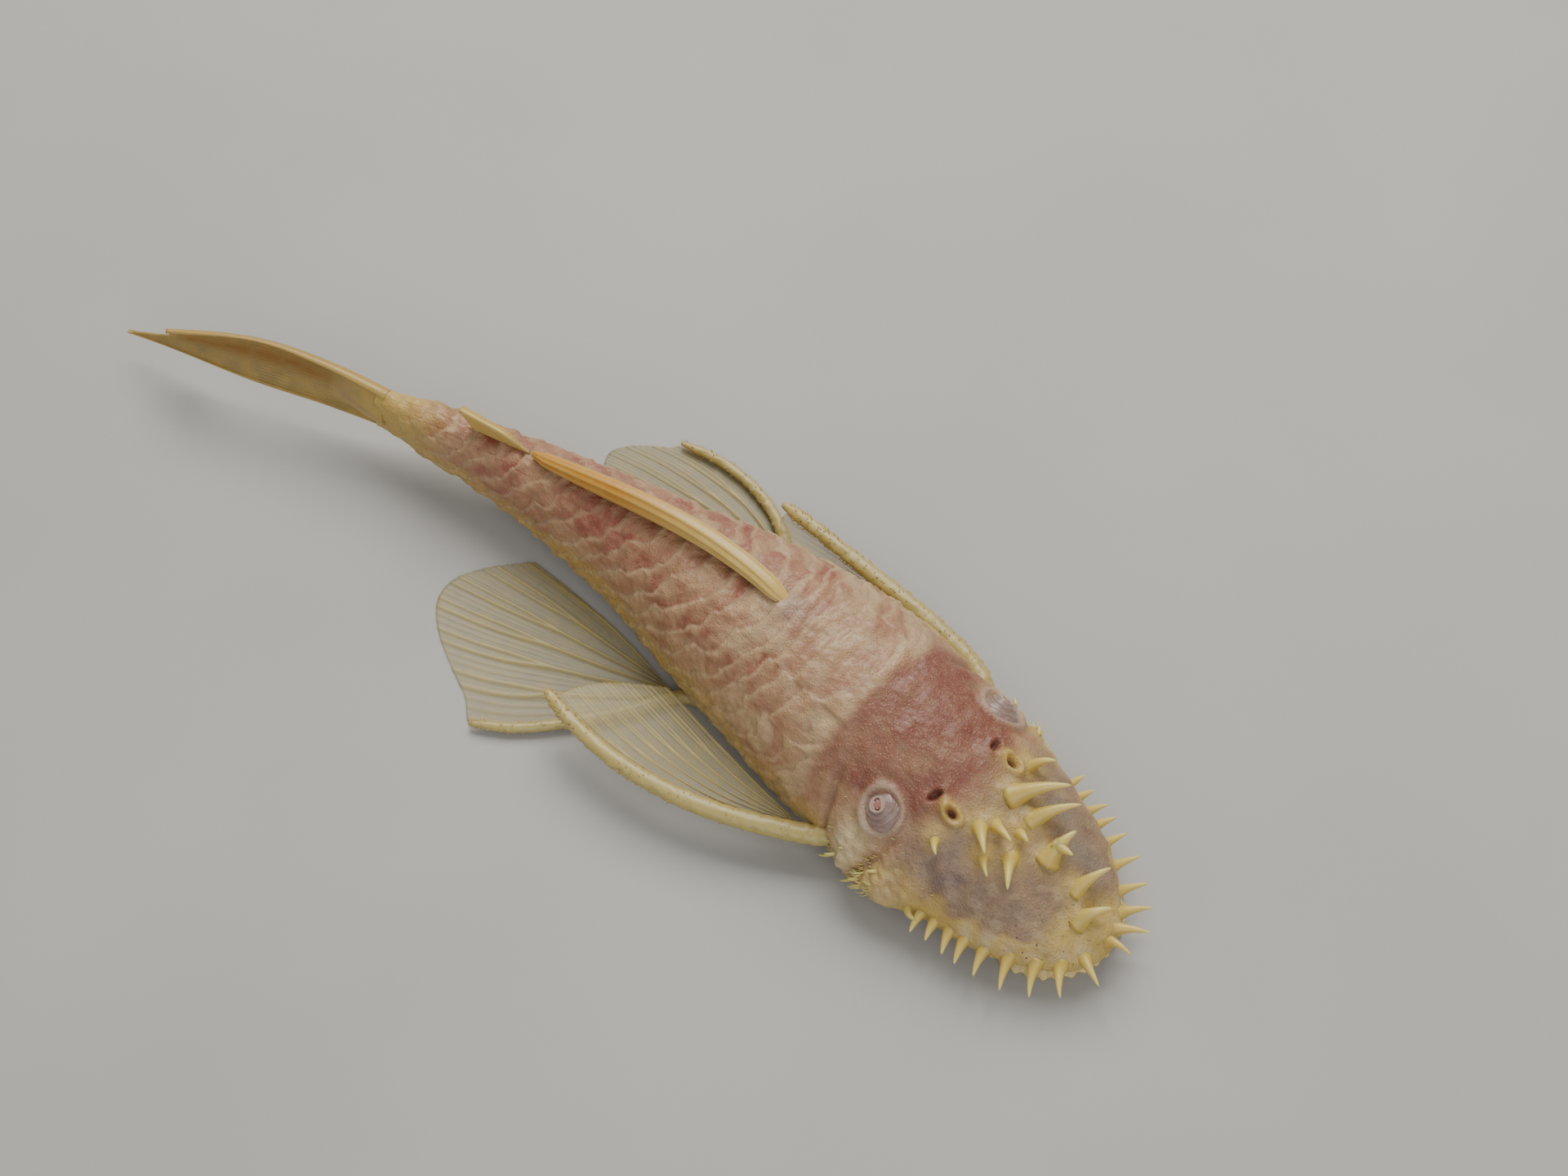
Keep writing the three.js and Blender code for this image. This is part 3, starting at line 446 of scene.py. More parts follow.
def skin():
    head = np.linspace(0, 1, HEAD_RINGS) ** 1.25 * HEAD_SPAN + 0.02
    rest = np.linspace(head[-1], SKIN_END, TRUNK_RINGS)[1:]
    s1 = np.concatenate([head, rest])
    half = arc_angles(HALF_POINTS)
    ang1 = np.concatenate([half, half[::-1][1:-1]])
    side1 = np.concatenate([-np.ones(HALF_POINTS), np.ones(HALF_POINTS - 2)])
    s = s1[:, None] + 0 * ang1
    ang = ang1 + 0 * s
    side = side1 + 0 * s
    y, z = section(s, side, ang)
    close = step(83, SKIN_END, s)
    y = y * (1 - 0.3 * close)
    z = z + (6.0 - z) * 0.1 * close
    p = place(s, y, z)
    ds = np.gradient(p, axis=0)
    da = (np.roll(p, -1, 1) - np.roll(p, 1, 1)) / 2
    n = np.cross(da, ds)
    n /= np.maximum(np.linalg.norm(n, axis=-1, keepdims=True), 1e-9)
    middle = p.mean(axis=1, keepdims=True)
    n *= np.sign(((p - middle) * n).sum(-1, keepdims=True).mean())
    deg = np.degrees(ang)
    # The noise is laid on the smooth surface, before any relief
    near = p

    top = step(-48, -30, deg)
    trunk = step(27, 31, s + 0.25 * (deg - 40) / 20)
    tail_end = 1 - step(80, 88, s)
    rise, f, across, nape = plates(s, ang, z, side)
    plated = trunk * top
    d = plated * (0.3 * rise - 0.05 * across * (1 - nape)) * (0.15 + 0.85 * tail_end)
    d += plated * (0.09 * waves(near, 2.6, 11) + 0.04 * waves(near, 1.0, 14))
    soft = (1 - trunk) * step(2, 12, deg)
    d += soft * 0.10 * waves(near, 2.6, 12) + 0.03 * waves(near, 0.9, 13) * top

    # Head forms: brow, cheeks, ridge between the nostrils and the yellow arms of bristles
    out = np.abs(y)
    cheek = bump(s, CHEEK_S, 4.2) * bump(deg, 4, 26)
    d += cheek * (0.22 * waves(near, 2.2, 21) + 0.16 * waves(near, 1.0, 22))
    full = np.where(side < 0, 1.0, 0.3)
    low_lump = full * bump(s, 17.4, 2.3) * bump(deg, 0, 20)
    high_lump = full * bump(s, 22.4, 2.1) * bump(deg, 12, 22)
    notch = full * bump(s + 0.05 * deg, 20.6, 0.45) * bump(deg, 6, 22)
    d += 0.9 * low_lump + 0.8 * high_lump - 0.4 * notch
    groove = bump(s, 25.6 + 0.03 * deg, 0.5) * step(55, 30, deg) * step(-30, -10, deg)
    d -= 0.5 * groove
    yellow_arm = np.zeros_like(s)
    for root_s, root_y in [row[:2] for row in TOP_BRISTLES]:
        apart = (s - root_s) ** 2 + (y - root_y) ** 2
        yellow_arm = np.maximum(yellow_arm, np.exp(-apart / 1.5**2) * step(0, 10, deg))
        d += 0.45 * np.exp(-apart / 0.85**2) * step(0, 10, deg)
    above = step(0, 12, deg)
    dark = np.zeros_like(s)
    flap = np.zeros_like(s)
    lids = np.zeros_like(s)
    for k in (-1, 1):
        eye = np.hypot(s - EYE_S, (y - k * EYE_OUT) * 1.25)
        d += above * (0.25 * bump(eye, 2.05, 0.35) - 0.12 * bump(eye, 2.9, 0.4))
        lids = np.maximum(lids, 0.8 * above * bump(eye, 2.0, 0.32))
        for back, hole in ((0.0, 0.36), (2.1, 0.5)):
            front = back == 0
            ahead = s - NOSTRIL_S - back
            aside = y - k * (NOSTRIL_OUT - 0.1 + 0.02 * back)
            if front:
                r = np.hypot(ahead * 0.8, aside * 1.3)
            else:
                r = np.hypot(ahead * 1.5 - aside * 0.3 * k, aside * 0.8)
            lip = (0.42 if front else 0.14) * bump(r, 0.8, 0.3)
            d += above * (lip - 0.6 * (1 - step(hole * 0.7, hole * 1.35, r)))
            shade = 1.0 if front else 0.8
            # Painted shade: the nostril holes are painted dark red inside the openings
            dark = np.maximum(dark, above * (1 - step(hole * 0.6, hole * 1.15, r)) * shade)
            if front:
                flap = np.maximum(flap, above * bump(r, 0.75, 0.45))
        web = np.exp(-((s - NOSTRIL_S - 1.0) / 0.55) ** 2 - ((y - k * (NOSTRIL_OUT - 0.1)) / 0.8) ** 2)
        web *= above
        d += 0.4 * web
        flap = np.maximum(flap, web)
    fin_base = above * np.exp(-((s - 40.2) / 1.7) ** 2 - (y / 1.5) ** 2)
    d += 0.55 * fin_base
    d *= step(0, 1.2, s)
    p = p + n * d[..., None]
    p[..., 2] = np.maximum(p[..., 2], 0)

    # Colour masks
    blotch = waves(near, 7, 31)
    masks = {}
    mid = step(8, 60, deg)
    # Red in the low front part of each plate, just behind the edge of the plate ahead: partly the fish's own
    # red and partly painted shade in the recess
    red_row = plated * mid * (1 - 0.7 * nape) * step(0.8, 0.15, f + 0.22 * waves(near, 1.5, 32))
    red_row = red_row * (0.5 + 0.5 * step(-0.5, 0.5, waves(near, 3.4, 39))) * (0.6 + 0.4 * tail_end)
    flush = bump(out, 2.6, 1.7) * step(48, 60, s) * (1 - step(74, 81, s))
    red_row = np.maximum(red_row, 0.8 * flush * (0.7 + 0.3 * step(-0.3, 0.5, waves(near, 2.0, 40))))
    masks["red"] = np.clip(red_row * (1.0 + 0.5 * blotch), 0, 1)
    patch = step(15.5, 18.5, s - 0.5 * blotch) * (1 - step(28.6, 30, s + 0.5 * blotch))
    patch *= 1 - step(5.6, 8.4, out + 0.9 * waves(near, 4, 33) - 0.25 * (s - 22))
    masks["head_red"] = np.clip(above * patch * (0.92 + 0.25 * blotch) * (1 - 0.8 * lids), 0, 1)
    masks["lids"] = np.maximum(0.8 * lids, 0.6 * fin_base)
    masks["snout"] = (1 - step(15, 19, s + blotch)) * step(12, 30, deg + 6 * blotch)
    broad_rim = 10 + 16 * bump(s, 5, 5) * (side < 0)
    rim = (1 - step(broad_rim, broad_rim + 16, deg + 9 * waves(near, 3, 35))) * (1 - step(17, 24, s))
    rim = np.maximum(rim, (1 - step(2.6, 5.4, s + 0.8 * blotch + 0.12 * y)))
    rim = np.maximum(rim, 0.75 * (side > 0) * (1 - step(14, 40, deg + 8 * blotch)) * step(13, 18, s))
    rim = np.maximum(rim, step(79, 86.5, s + 0.8 * blotch))
    edge = (1 - step(-6, 14, deg + 6 * blotch)) * step(-75, -40, deg) * 0.7
    lower_yellow = np.clip(1.3 * low_lump, 0, 0.75)
    masks["yellow"] = np.clip(np.maximum.reduce([rim, edge, yellow_arm * 0.95, flap, lower_yellow]), 0, 1)
    pale_edge = plated * tail_end * 0.36 * step(0.6, 0.95, f)
    cream = np.maximum.reduce([1.2 * high_lump, 0.55 * low_lump, pale_edge])
    nape_blotch = 0.45 * step(-0.1, 0.7, waves(near, 4.5, 37)) * step(25, 30, s)
    cream = np.maximum(cream, nape_blotch * (1 - step(42, 48, s)))
    cream = np.maximum(cream, 0.22 * step(0.3, 0.95, waves(near, 1.4, 38)) * masks["snout"])
    belly = 1 - step(-72, -30, deg + 8 * waves(near, 4, 42))
    cream = np.maximum(cream, (0.85 + 0.3 * waves(near, 5, 41)) * belly)
    for root_s, root_y in [row[:2] for row in RIM_BRISTLES[3:]]:
        for k in (-1, 1):
            apart = (s - root_s) ** 2 + (y - k * root_y) ** 2
            cream = np.maximum(cream, 0.8 * np.exp(-apart / 0.8**2))
    masks["cream"] = np.clip(cream * (1 - dark) * (1 - 0.9 * masks["head_red"] * (1 - high_lump)), 0, 1)
    masks["violet"] = np.clip(bump(s, 15, 3.2) * bump(deg, 42, 16) * (side < 0) * 1.1, 0, 1)
    # Grey patches on top of the snout's far slope: partly the skin's own greyish tone and partly painted
    # shade
    window = np.exp(-((s - 7) / 2.6) ** 2 - ((y - 3.4) / 1.4) ** 2)
    window = np.maximum(window, np.exp(-((s - 11.5) / 1.6) ** 2 - ((y - 4.6) / 1.1) ** 2))
    masks["grey"] = np.clip(above * window * 1.1 * (1 - yellow_arm), 0, 0.9)
    masks["grains"] = np.clip(0.26 * masks["head_red"] + 0.12 * (1 - masks["yellow"]) * top, 0, 1)
    seams_and_shade = plated * np.maximum(0.5 * step(0.9, 0.99, f), 0.15 * across * (1 - nape)) * (0.2 + 0.8 * tail_end)
    # Dark seams between the plates, darker along the groove behind the head, and painted shade in the notch
    # between the cheek lumps
    masks["seams_and_shade"] = np.clip(seams_and_shade + 0.5 * groove + 0.8 * notch, 0, 1)
    masks["dark"] = dark
    masks["dirt"] = np.clip(bump(s, 4.5, 3.5) * bump(y, -4.5, 4) + 0.12 * rim, 0, 1)

    rows, columns = s.shape
    points = p.reshape(-1, 3)
    faces = grid_faces(rows, columns, True)
    first, last = len(points), len(points) + 1
    points = np.concatenate([points, p[0].mean(0)[None], p[-1].mean(0)[None]])
    ring = np.arange(columns)
    nxt = (ring + 1) % columns
    base = (rows - 1) * columns
    caps = np.concatenate([
        np.stack([np.full(columns, first), nxt, ring], -1),
        np.stack([np.full(columns, last), base + ring, base + nxt], -1),
    ])
    volume = outward(points, faces)
    if volume is not faces:
        caps = caps[:, ::-1]
    flat = {k: np.concatenate([v.ravel(), v[0, :1], v[-1, :1]]) for k, v in masks.items()}
    mesh_piece("skin", points, [volume, caps], SKIN, flat, ("head", "trunk", "tail_stem"))


skin()


# Tapered fleshy tubes, used for bristles, spines and barbels
def tube(points, radii, sides, flat=1.0):
    points = np.asarray(points, float)
    tangent = np.gradient(points, axis=0)
    tangent /= np.linalg.norm(tangent, axis=1, keepdims=True)
    u = np.stack([-tangent[:, 1], tangent[:, 0], np.full(len(points), 1e-3)], -1)
    u /= np.linalg.norm(u, axis=1, keepdims=True)
    v = np.cross(tangent, u)
    t = np.arange(sides) / sides * 2 * math.pi
    ring = np.cos(t)[None, :, None] * u[:, None] + flat * np.sin(t)[None, :, None] * v[:, None]
    return points[:, None] + ring * np.asarray(radii)[:, None, None]


def bezier(a, b, c, count):
    t = np.linspace(0, 1, count)[:, None]
    return (1 - t) ** 2 * a + 2 * t * (1 - t) * b + t**2 * c


class Bundle:
    """Many closed tubes gathered into one mesh."""

    def __init__(self):
        self.points, self.quads, self.tris, self.masks = [], [], [], {}
        self.count = 0

    def add(self, rings, **masks):
        rows, sides = rings.shape[:2]
        points = rings.reshape(-1, 3)
        ends = np.stack([rings[0].mean(0), rings[-1].mean(0)])
        quads = grid_faces(rows, sides, True)
        turned = outward(np.concatenate([points, ends]), quads)
        ring = np.arange(sides)
        nxt = (ring + 1) % sides
        base = (rows - 1) * sides
        total = rows * sides
        tris = np.concatenate([
            np.stack([np.full(sides, total), nxt, ring], -1),
            np.stack([np.full(sides, total + 1), base + ring, base + nxt], -1),
        ])
        if turned is not quads:
            tris = tris[:, ::-1]
        self.points.append(np.concatenate([points, ends]))
        self.quads.append(turned + self.count)
        self.tris.append(tris + self.count)
        for key, value in masks.items():
            v = np.broadcast_to(np.asarray(value, float).reshape(rows, -1), (rows, sides))
            values = np.concatenate([v.ravel(), v[0, :1], v[-1, :1]])
            self.masks.setdefault(key, []).append(values)
        self.count += total + 2

    def piece(self, name, material, slot, replaces=()):
        masks = {k: np.concatenate(v) for k, v in self.masks.items()}
        faces = [np.concatenate(self.quads), np.concatenate(self.tris)]
        return mesh_piece(name, np.concatenate(self.points), faces, material, masks, replaces)


def taper(radius, count, flare=0.85, tip=0.12):
    t = np.linspace(0, 1, count)
    round_tip = np.sqrt(np.clip((1.0 - t) / 0.06, 0.15, 1))
    return radius * (1 + flare * np.exp(-t / 0.16)) * ((1 - t) ** 0.85 * (1 - tip) + tip) * round_tip


def bristle(bundle, s, y, length, turn, rise, radius, branch=0.0):
    side = -1 if y < 0 else 1
    p, n = surface(s, side, float(angle_for(s, abs(y))))
    h = math.radians(turn)
    reach = np.array([math.cos(h) * length, math.sin(h) * length, rise])
    root, tip = p - n * 0.6, p + reach + n * 0.2
    knee = p + n * (0.2 if rise < 0 else 0.9) + reach * 0.42
    line = bezier(root, knee, tip, 18)
    t = np.linspace(0, 1, 18)
    bundle.add(tube(line, taper(radius, 18), 14), tip=t**1.5, root=np.exp(-t / 0.2))
    if branch:
        c, q = math.cos(branch), math.sin(branch)
        arm = np.array([c * reach[0] - q * reach[1], q * reach[0] + c * reach[1], reach[2] + 0.3]) * 0.55
        start = line[6]
        side_line = bezier(start - arm * 0.05, start + arm * 0.5 + n * 0.2, start + arm, 14)
        u = np.linspace(0, 1, 14)
        radii = taper(radius * 0.72, 14, 0.35)
        bundle.add(tube(side_line, radii, 12), tip=u**1.5, root=0.3 * np.exp(-u / 0.3))


def bristles():
    b = Bundle()
    for s, y, length, turn in RIM_BRISTLES:
        bristle(b, s, -y, length * 1.08, turn + 3 * math.sin(7 * s), -0.2, 0.55)
        bristle(b, s, y, length * 1.02, -turn + 4 * math.sin(5 * s), -0.2, 0.52)
    for s, y, length, turn, rise, radius, branch in TOP_BRISTLES:
        bristle(b, s, y, length, turn, rise, radius * 0.92, branch)
    b.piece("bristles", BRISTLE, "head_skin")


bristles()


# Numbers of hairs and hooked spines on each cheek: the right one (-1) is the rougher
SHORT_HAIRS = {-1: 380, 1: 110}
LONG_HAIRS = {-1: 20, 1: 5}
HOOKED_SPINES = 7


def cheek_spines():
    rng = np.random.default_rng(4)
    b = Bundle()
    for side in (-1, 1):
        for _ in range(SHORT_HAIRS[side]):
            s = rng.normal(CHEEK_S + 0.6, 2.4)
            angle = math.radians(rng.normal(4 if side < 0 else -8, 13))
            if not (13 < s < 25.2 and -0.45 < angle < 0.8):
                continue
            p, n = surface(s, side, angle)
            size = rng.uniform(0.25, 0.6)
            back = place(s + 1, side, 0) - place(s, side, 0)
            way = n * 0.75 + back * rng.uniform(0.1, 0.8) + np.array([0, 0, rng.uniform(-0.3, 0.3)])
            line = bezier(p - n * 0.2, p + n * 0.5 * size, p + way * size, 6)
            t = np.linspace(0, 1, 6)
            b.add(tube(line, 0.08 * (1 - 0.8 * t), 4), tip=0.6 + 0.4 * t, root=0 * t)
        for i in range(HOOKED_SPINES):
            s = 17.6 + 1.05 * i
            angle = math.radians(-10 + 13 * ((i * 2) % 3))
            p, n = surface(s, side, angle)
            tip = p + n * 0.5 + np.array([-1, side * 0.5, -0.15]) * (0.6 + 0.08 * i)
            line = bezier(p - n * 0.5, p + n * 0.6, tip, 10)
            t = np.linspace(0, 1, 10)
            b.add(tube(line, 0.28 * (1 - t) ** 0.7 + 0.03, 8), tip=0.5 + 0.5 * t, root=0.3 * (1 - t))
        for _ in range(LONG_HAIRS[side]):
            s = rng.uniform(17.0, 20.0)
            p, n = surface(s, side, math.radians(rng.uniform(-16, 14)))
            back = place(s + 1, side, 0) - place(s, side, 0)
            way = n * rng.uniform(0.4, 0.8) + back * rng.uniform(0.6, 1.1)
            way = way + np.array([0, 0, rng.uniform(-0.3, 0.3)])
            line = bezier(p + n * 0.2, p + n * 0.9, p + n * 0.5 + way * rng.uniform(0.5, 0.9), 8)
            t = np.linspace(0, 1, 8)
            b.add(tube(line, 0.115 * (1 - 0.85 * t), 6), tip=0.6 + 0.4 * t, root=0 * t)
    b.piece("cheek_spines", BRISTLE, "head_skin")


cheek_spines()


# Fins: a sheet with two faces, rays as soft ridges that branch towards the margin
def curve(points, t):
    """Centripetal curve through a few points, read at t from 0 to 1."""
    p = np.asarray(points, float)
    p = np.concatenate([[2 * p[0] - p[1]], p, [2 * p[-1] - p[-2]]])
    spans = len(p) - 3
    t = np.clip(np.asarray(t, float), 0, 1) * spans
    i = np.clip(np.floor(t).astype(int), 0, spans - 1)
    knots = np.concatenate([[0], np.cumsum(np.linalg.norm(np.diff(p, axis=0), axis=1) ** 0.5)])
    k0, k1, k2, k3 = (knots[i + j][..., None] for j in range(4))
    q0, q1, q2, q3 = (p[i + j] for j in range(4))
    x = k1 + (k2 - k1) * (t - i)[..., None]
    a1 = ((k1 - x) * q0 + (x - k0) * q1) / (k1 - k0)
    a2 = ((k2 - x) * q1 + (x - k1) * q2) / (k2 - k1)
    a3 = ((k3 - x) * q2 + (x - k2) * q3) / (k3 - k2)
    b1 = ((k2 - x) * a1 + (x - k0) * a2) / (k2 - k0)
    b2 = ((k3 - x) * a2 + (x - k1) * a3) / (k3 - k1)
    return ((k2 - x) * b1 + (x - k1) * b2) / (k2 - k1)


def ray_profile(a, r, rays):
    q = a * rays
    f = q - np.round(q)
    split = 0.15 * step(0.45, 0.75, r)
    width = 0.115 - 0.045 * r
    main = np.exp(-((np.abs(f) - split) / width) ** 2)
    fine = 0.3 * (0.5 + 0.5 * np.cos(2 * math.pi * q * 5)) * step(0.2, 0.6, r)
    return np.maximum(main * (1 - 0.5 * r), fine)


def fin_piece(name, at, rays, thick, material, node, flat=False, masks=None, rows=90, per_ray=18):
    a = np.linspace(0, 1, rays * per_ray + 1)[None, :]
    r = np.linspace(0, 1, rows)[:, None]
    a, r = np.broadcast_arrays(a, r)
    p = place(*at(a, r))
    across = np.gradient(p, axis=1)
    along = np.gradient(p, axis=0)
    n = np.cross(across, along)
    n /= np.maximum(np.linalg.norm(n, axis=-1, keepdims=True), 1e-9)
    ray = ray_profile(a, r, rays)
    joints = 1 - 0.12 * (np.sin(r * 190) > 0.9) * ray
    t = thick(a, r, ray * joints)[..., None]
    if flat:
        up = p + np.array([0, 0, 1]) * t
        low = p + np.array([0, 0, 0.02])
    else:
        up, low = p + n * t / 2, p - n * t / 2
    points = np.concatenate([up.reshape(-1, 3), low.reshape(-1, 3)])
    cols = a.shape[1]
    face = grid_faces(rows, cols, False)
    off = rows * cols
    loop = np.concatenate([
        np.arange(cols - 1), np.arange(rows - 1) * cols + cols - 1,
        np.arange(off - 1, off - cols, -1), np.arange(rows - 1, 0, -1) * cols,
    ])
    nxt = np.roll(loop, -1)
    rim = np.stack([nxt, loop, off + loop, off + nxt], -1)
    faces = np.concatenate([face, face[:, ::-1] + off, rim])
    faces = outward(points, faces)
    values = {"ray": ray, "deep": np.zeros_like(ray), "dots": np.zeros_like(ray)}
    if masks:
        values.update(masks(a, r, ray))
    both = {k: np.concatenate([v.ravel(), v.ravel()]) for k, v in values.items()}
    return mesh_piece(name, points, [faces], material, both, (node,))


def fan(front, rear, bow):
    def at(a, r):
        p = curve(front, r * np.where(a > 0.002, 1 - 0.06 * step(0, 0.12, a), 1))
        q = curve(rear, r)
        m = p + (q - p) * a[..., None]
        s = m[..., 0] + bow * np.sin(math.pi * a) * r
        return s, m[..., 1], m[..., 2]
    return at


SPINE_RINGS, SPINE_SIDES = 130, 20


def spine_tube(name, front, radius, flat, seed, material, slot, dots):
    """The stout first ray of a fin, rough with small tooth-like grains."""
    t = np.linspace(0, 1, SPINE_RINGS)
    inner = [front[0][0] - 2.2, front[0][1] * 0.86, front[0][2]]
    line = place(*np.moveaxis(curve([inner] + front, t), -1, 0))
    radii = radius * (1 - 0.45 * t) * np.sqrt(np.clip((1.02 - t) / 0.09, 0.04, 1))
    radii = radii * np.sqrt(np.clip(t / 0.03, 0.3, 1))
    rings = tube(line, radii, SPINE_SIDES, flat)
    rough = waves(rings, 0.8, seed)
    centre = rings.mean(1, keepdims=True)
    rings = centre + (rings - centre) * (1 + 0.07 * rough[..., None])
    rings[..., 2] = np.maximum(rings[..., 2], 0.0)
    b = Bundle()
    amount = dots * (0.25 + 0.75 * step(0.3, 0.8, t))
    spread = np.repeat(amount[:, None], SPINE_SIDES, 1)
    b.add(rings, ray=1.0 + 0 * t, deep=0.15 * step(0.8, 1, t), dots=spread)
    rng = np.random.default_rng(seed)
    for _ in range(int(260 * dots)):
        k = int(SPINE_RINGS * rng.uniform(0.2, 0.985))
        j = rng.integers(SPINE_SIDES)
        root = rings[k, j]
        out = root - centre[k, 0]
        out = out / np.linalg.norm(out)
        along = line[min(k + 1, SPINE_RINGS - 1)] - line[k - 1]
        along = along / np.linalg.norm(along)
        way = out * 0.5 + along * 0.5
        size = rng.uniform(0.3, 0.55) * (0.5 + 0.5 * t[k])
        small = np.linspace(0, 1, 4)
        hair = bezier(root - out * 0.1, root + way * 0.4 * size, root + way * size, 4)
        hair[:, 2] = np.maximum(hair[:, 2], 0.06)
        b.add(tube(hair, 0.09 * (1 - 0.8 * small), 4), ray=1.0 + 0 * small, deep=0.5 * small, dots=0 * small)
    b.piece(name, material, slot)


def thin(membrane, ridge):
    def thick(a, r, ray):
        return membrane + (ridge - membrane) * ray * (1 - 0.6 * r)
    return thick


PECTORAL = {
    -1: [[27.2, -12.2, 3.7], [37.1, -16.8, 4.1], [45, -18.4, 4.5], [51.7, -18.1, 4.8], [56, -17.2, 5]],
    1: [[27.2, 11.1, 3.7], [34, 12, 4.2], [41.2, 12.2, 4.5], [47, 12.4, 4.8], [51.5, 12.5, 5]],
}
PECTORAL_ROOT = {
    -1: [[29.6, 11.9], [34.5, 11.4], [40, 10.5], [47.5, 9.2]],
    1: [[29.6, 10.9], [34.5, 11], [40, 10.5], [47.5, 9.2]],
}
PELVIC = {
    -1: [[46.8, -8, 0], [50, -12.6, 0], [53.6, -16.8, 0], [57.6, -20.4, 0], [61.9, -22.6, 0]],
    1: [[46.8, 8, 0], [51, 11.9, 0], [55, 14, 0], [60, 14.9, 0], [64.7, 14.4, 0]],
}
PELVIC_REAR = {
    -1: [[49.2, -8, 0], [54.5, -6.8, 0], [61.5, -5.6, 0], [68.4, -4.8, 0]],
    1: [[49.2, 8, 0], [54.5, 6.8, 0], [60, 5.8, 0], [66, 5.2, 0]],
}


PECTORAL_BOW = 1.6
PELVIC_BOW = {-1: 9.5, 1: 5}
PECTORAL_RAYS, PELVIC_RAYS, CAUDAL_RAYS, ADIPOSE_RAYS, ANAL_RAYS = 7, 6, 13, 2, 4


def lifted(points, z):
    return [[p[0], p[1], p[2] + z] for p in points]


def pectoral_masks(a, r, ray):
    return {"deep": 0.2 * (1 - r) * ray}


for word, side in (("left", 1), ("right", -1)):
    rear = [[q[0], side * q[1], 3.6 - 0.1 * i] for i, q in enumerate(PECTORAL_ROOT[side])]
    fin_piece(
        "pectoral_web_" + word, fan(PECTORAL[side], rear, PECTORAL_BOW), PECTORAL_RAYS, thin(0.16, 0.62),
        FIN_PALE, "pectoral_fin_" + word, masks=pectoral_masks)
    spine_tube("pectoral_spine_" + word, PECTORAL[side], 1.1, 0.8, 40 + side, FIN_PALE, "fin_pale", 1.0)
    fin_piece(
        "pelvic_web_" + word, fan(PELVIC[side], PELVIC_REAR[side], PELVIC_BOW[side]), PELVIC_RAYS,
        thin(0.14, 0.6), FIN_PALE, "pelvic_fin_" + word, flat=True)
    front = lifted(PELVIC[side], 0.7)
    spine_tube("pelvic_spine_" + word, front, 0.78, 0.85, 50 + side, FIN_PALE, "fin_pale", 0.3)


# Tail fin, its two edges from the tail stem to the tips of the lobes
CAUDAL_UPPER = [[TAIL_BASE + 0.2, 0, 8.7], [95, 0.6, 8.8], [103, 0.9, 8.5], [LOBE_UPPER, -0.4, 7.6]]
CAUDAL_LOWER = [[TAIL_BASE + 0.2, 0, 3.4], [95, -0.6, 3.9], [104, -1, 4.2], [LOBE_LOWER, 1.2, 3.6]]


def caudal_at(a, r):
    p = curve(CAUDAL_UPPER, r)
    q = curve(CAUDAL_LOWER, r)
    m = p + (q - p) * a[..., None]
    return m[..., 0] - 2.2 * np.sin(math.pi * a) * r, m[..., 1], m[..., 2]


def caudal_thick(a, r, ray):
    edge = np.where((a < 0.03) | (a > 0.97), 1.2 * (1 - 0.6 * r), 0)
    root = 3.3 * (1 - step(0, 0.45, r)) * np.sin(math.pi * np.clip(a, 0.1, 0.9))
    return np.maximum.reduce([0.2 + 0.5 * ray * (1 - 0.6 * r), edge, root])


def caudal_masks(a, r, ray):
    deep = 0.9 * bump(a, 0.3, 0.2) * step(0.15, 0.5, r) * (1 - step(0.92, 1.0, r))
    root = 0.9 * (1 - step(0.05, 0.32, r + 0.06 * np.cos(2 * math.pi * a * 4)))
    solid = np.maximum.reduce([ray, 1 - step(0.0, 0.05, a), step(0.95, 1, a), root])
    return {"deep": deep, "ray": solid}


fin_piece(
    "caudal_web", caudal_at, CAUDAL_RAYS, caudal_thick, FIN_DARK, "caudal_fin",
    masks=caudal_masks, rows=110, per_ray=14)


# Dorsal fin, folded: its rays lie side by side along the back. Each point of its rise has a
# distance from the snout and a height over the back.
DORSAL_RISE = [
    [39.4, 0.5, 0], [43, 1.3, 0], [48, 2, 0], [55, 2.5, 0], [62, 2.4, 0], [68, 1.6, 0], [71, 0.9, 0],
]
DORSAL_RINGS, DORSAL_SIDES = 160, 96


def dorsal():
    t = np.linspace(0, 1, DORSAL_RINGS)
    rise = curve(DORSAL_RISE, t)
    s = rise[:, 0]
    low = body(s)[1] + 0.3 - 1.2 * np.exp(-t / 0.09)
    half = (0.85 + 0.35 * np.sin(math.pi * t) - 0.25 * t) * np.sqrt(np.clip((1.03 - t) / 0.12, 0.1, 1))
    half *= 0.35 + 0.65 * step(0, 0.16, t)
    sway = 0.35 * np.sin(5.4 * t)
    k = np.linspace(0, 2 * math.pi, DORSAL_SIDES + 1)[:-1]
    ridge = 0.88 + 0.12 * np.cos(9 * k[None, :] + 2.0 * t[:, None])
    y = (sway * rise[:, 1] * 0.5)[:, None] + half[:, None] * ridge * np.sin(k)[None, :]
    z = low[:, None] + rise[:, 1:2] * (0.5 - 0.5 * np.cos(k)[None, :]) * (0.97 + 0.03 * ridge)
    rings = place(np.repeat(s[:, None], DORSAL_SIDES, 1), y, z)
    b = Bundle()
    deep = step(0.35, 0.7, t)[:, None] * (0.6 + 0.4 * (ridge < 0.9))
    ray = np.clip((ridge - 0.8) * 5, 0, 1) * (1 - 0.6 * step(0.4, 0.7, t))[:, None]
    b.add(rings, ray=ray, deep=deep, dots=0 * deep)
    b.piece("dorsal_folded", FIN_FOLDED, "fin_dark", ("dorsal_fin",))


dorsal()


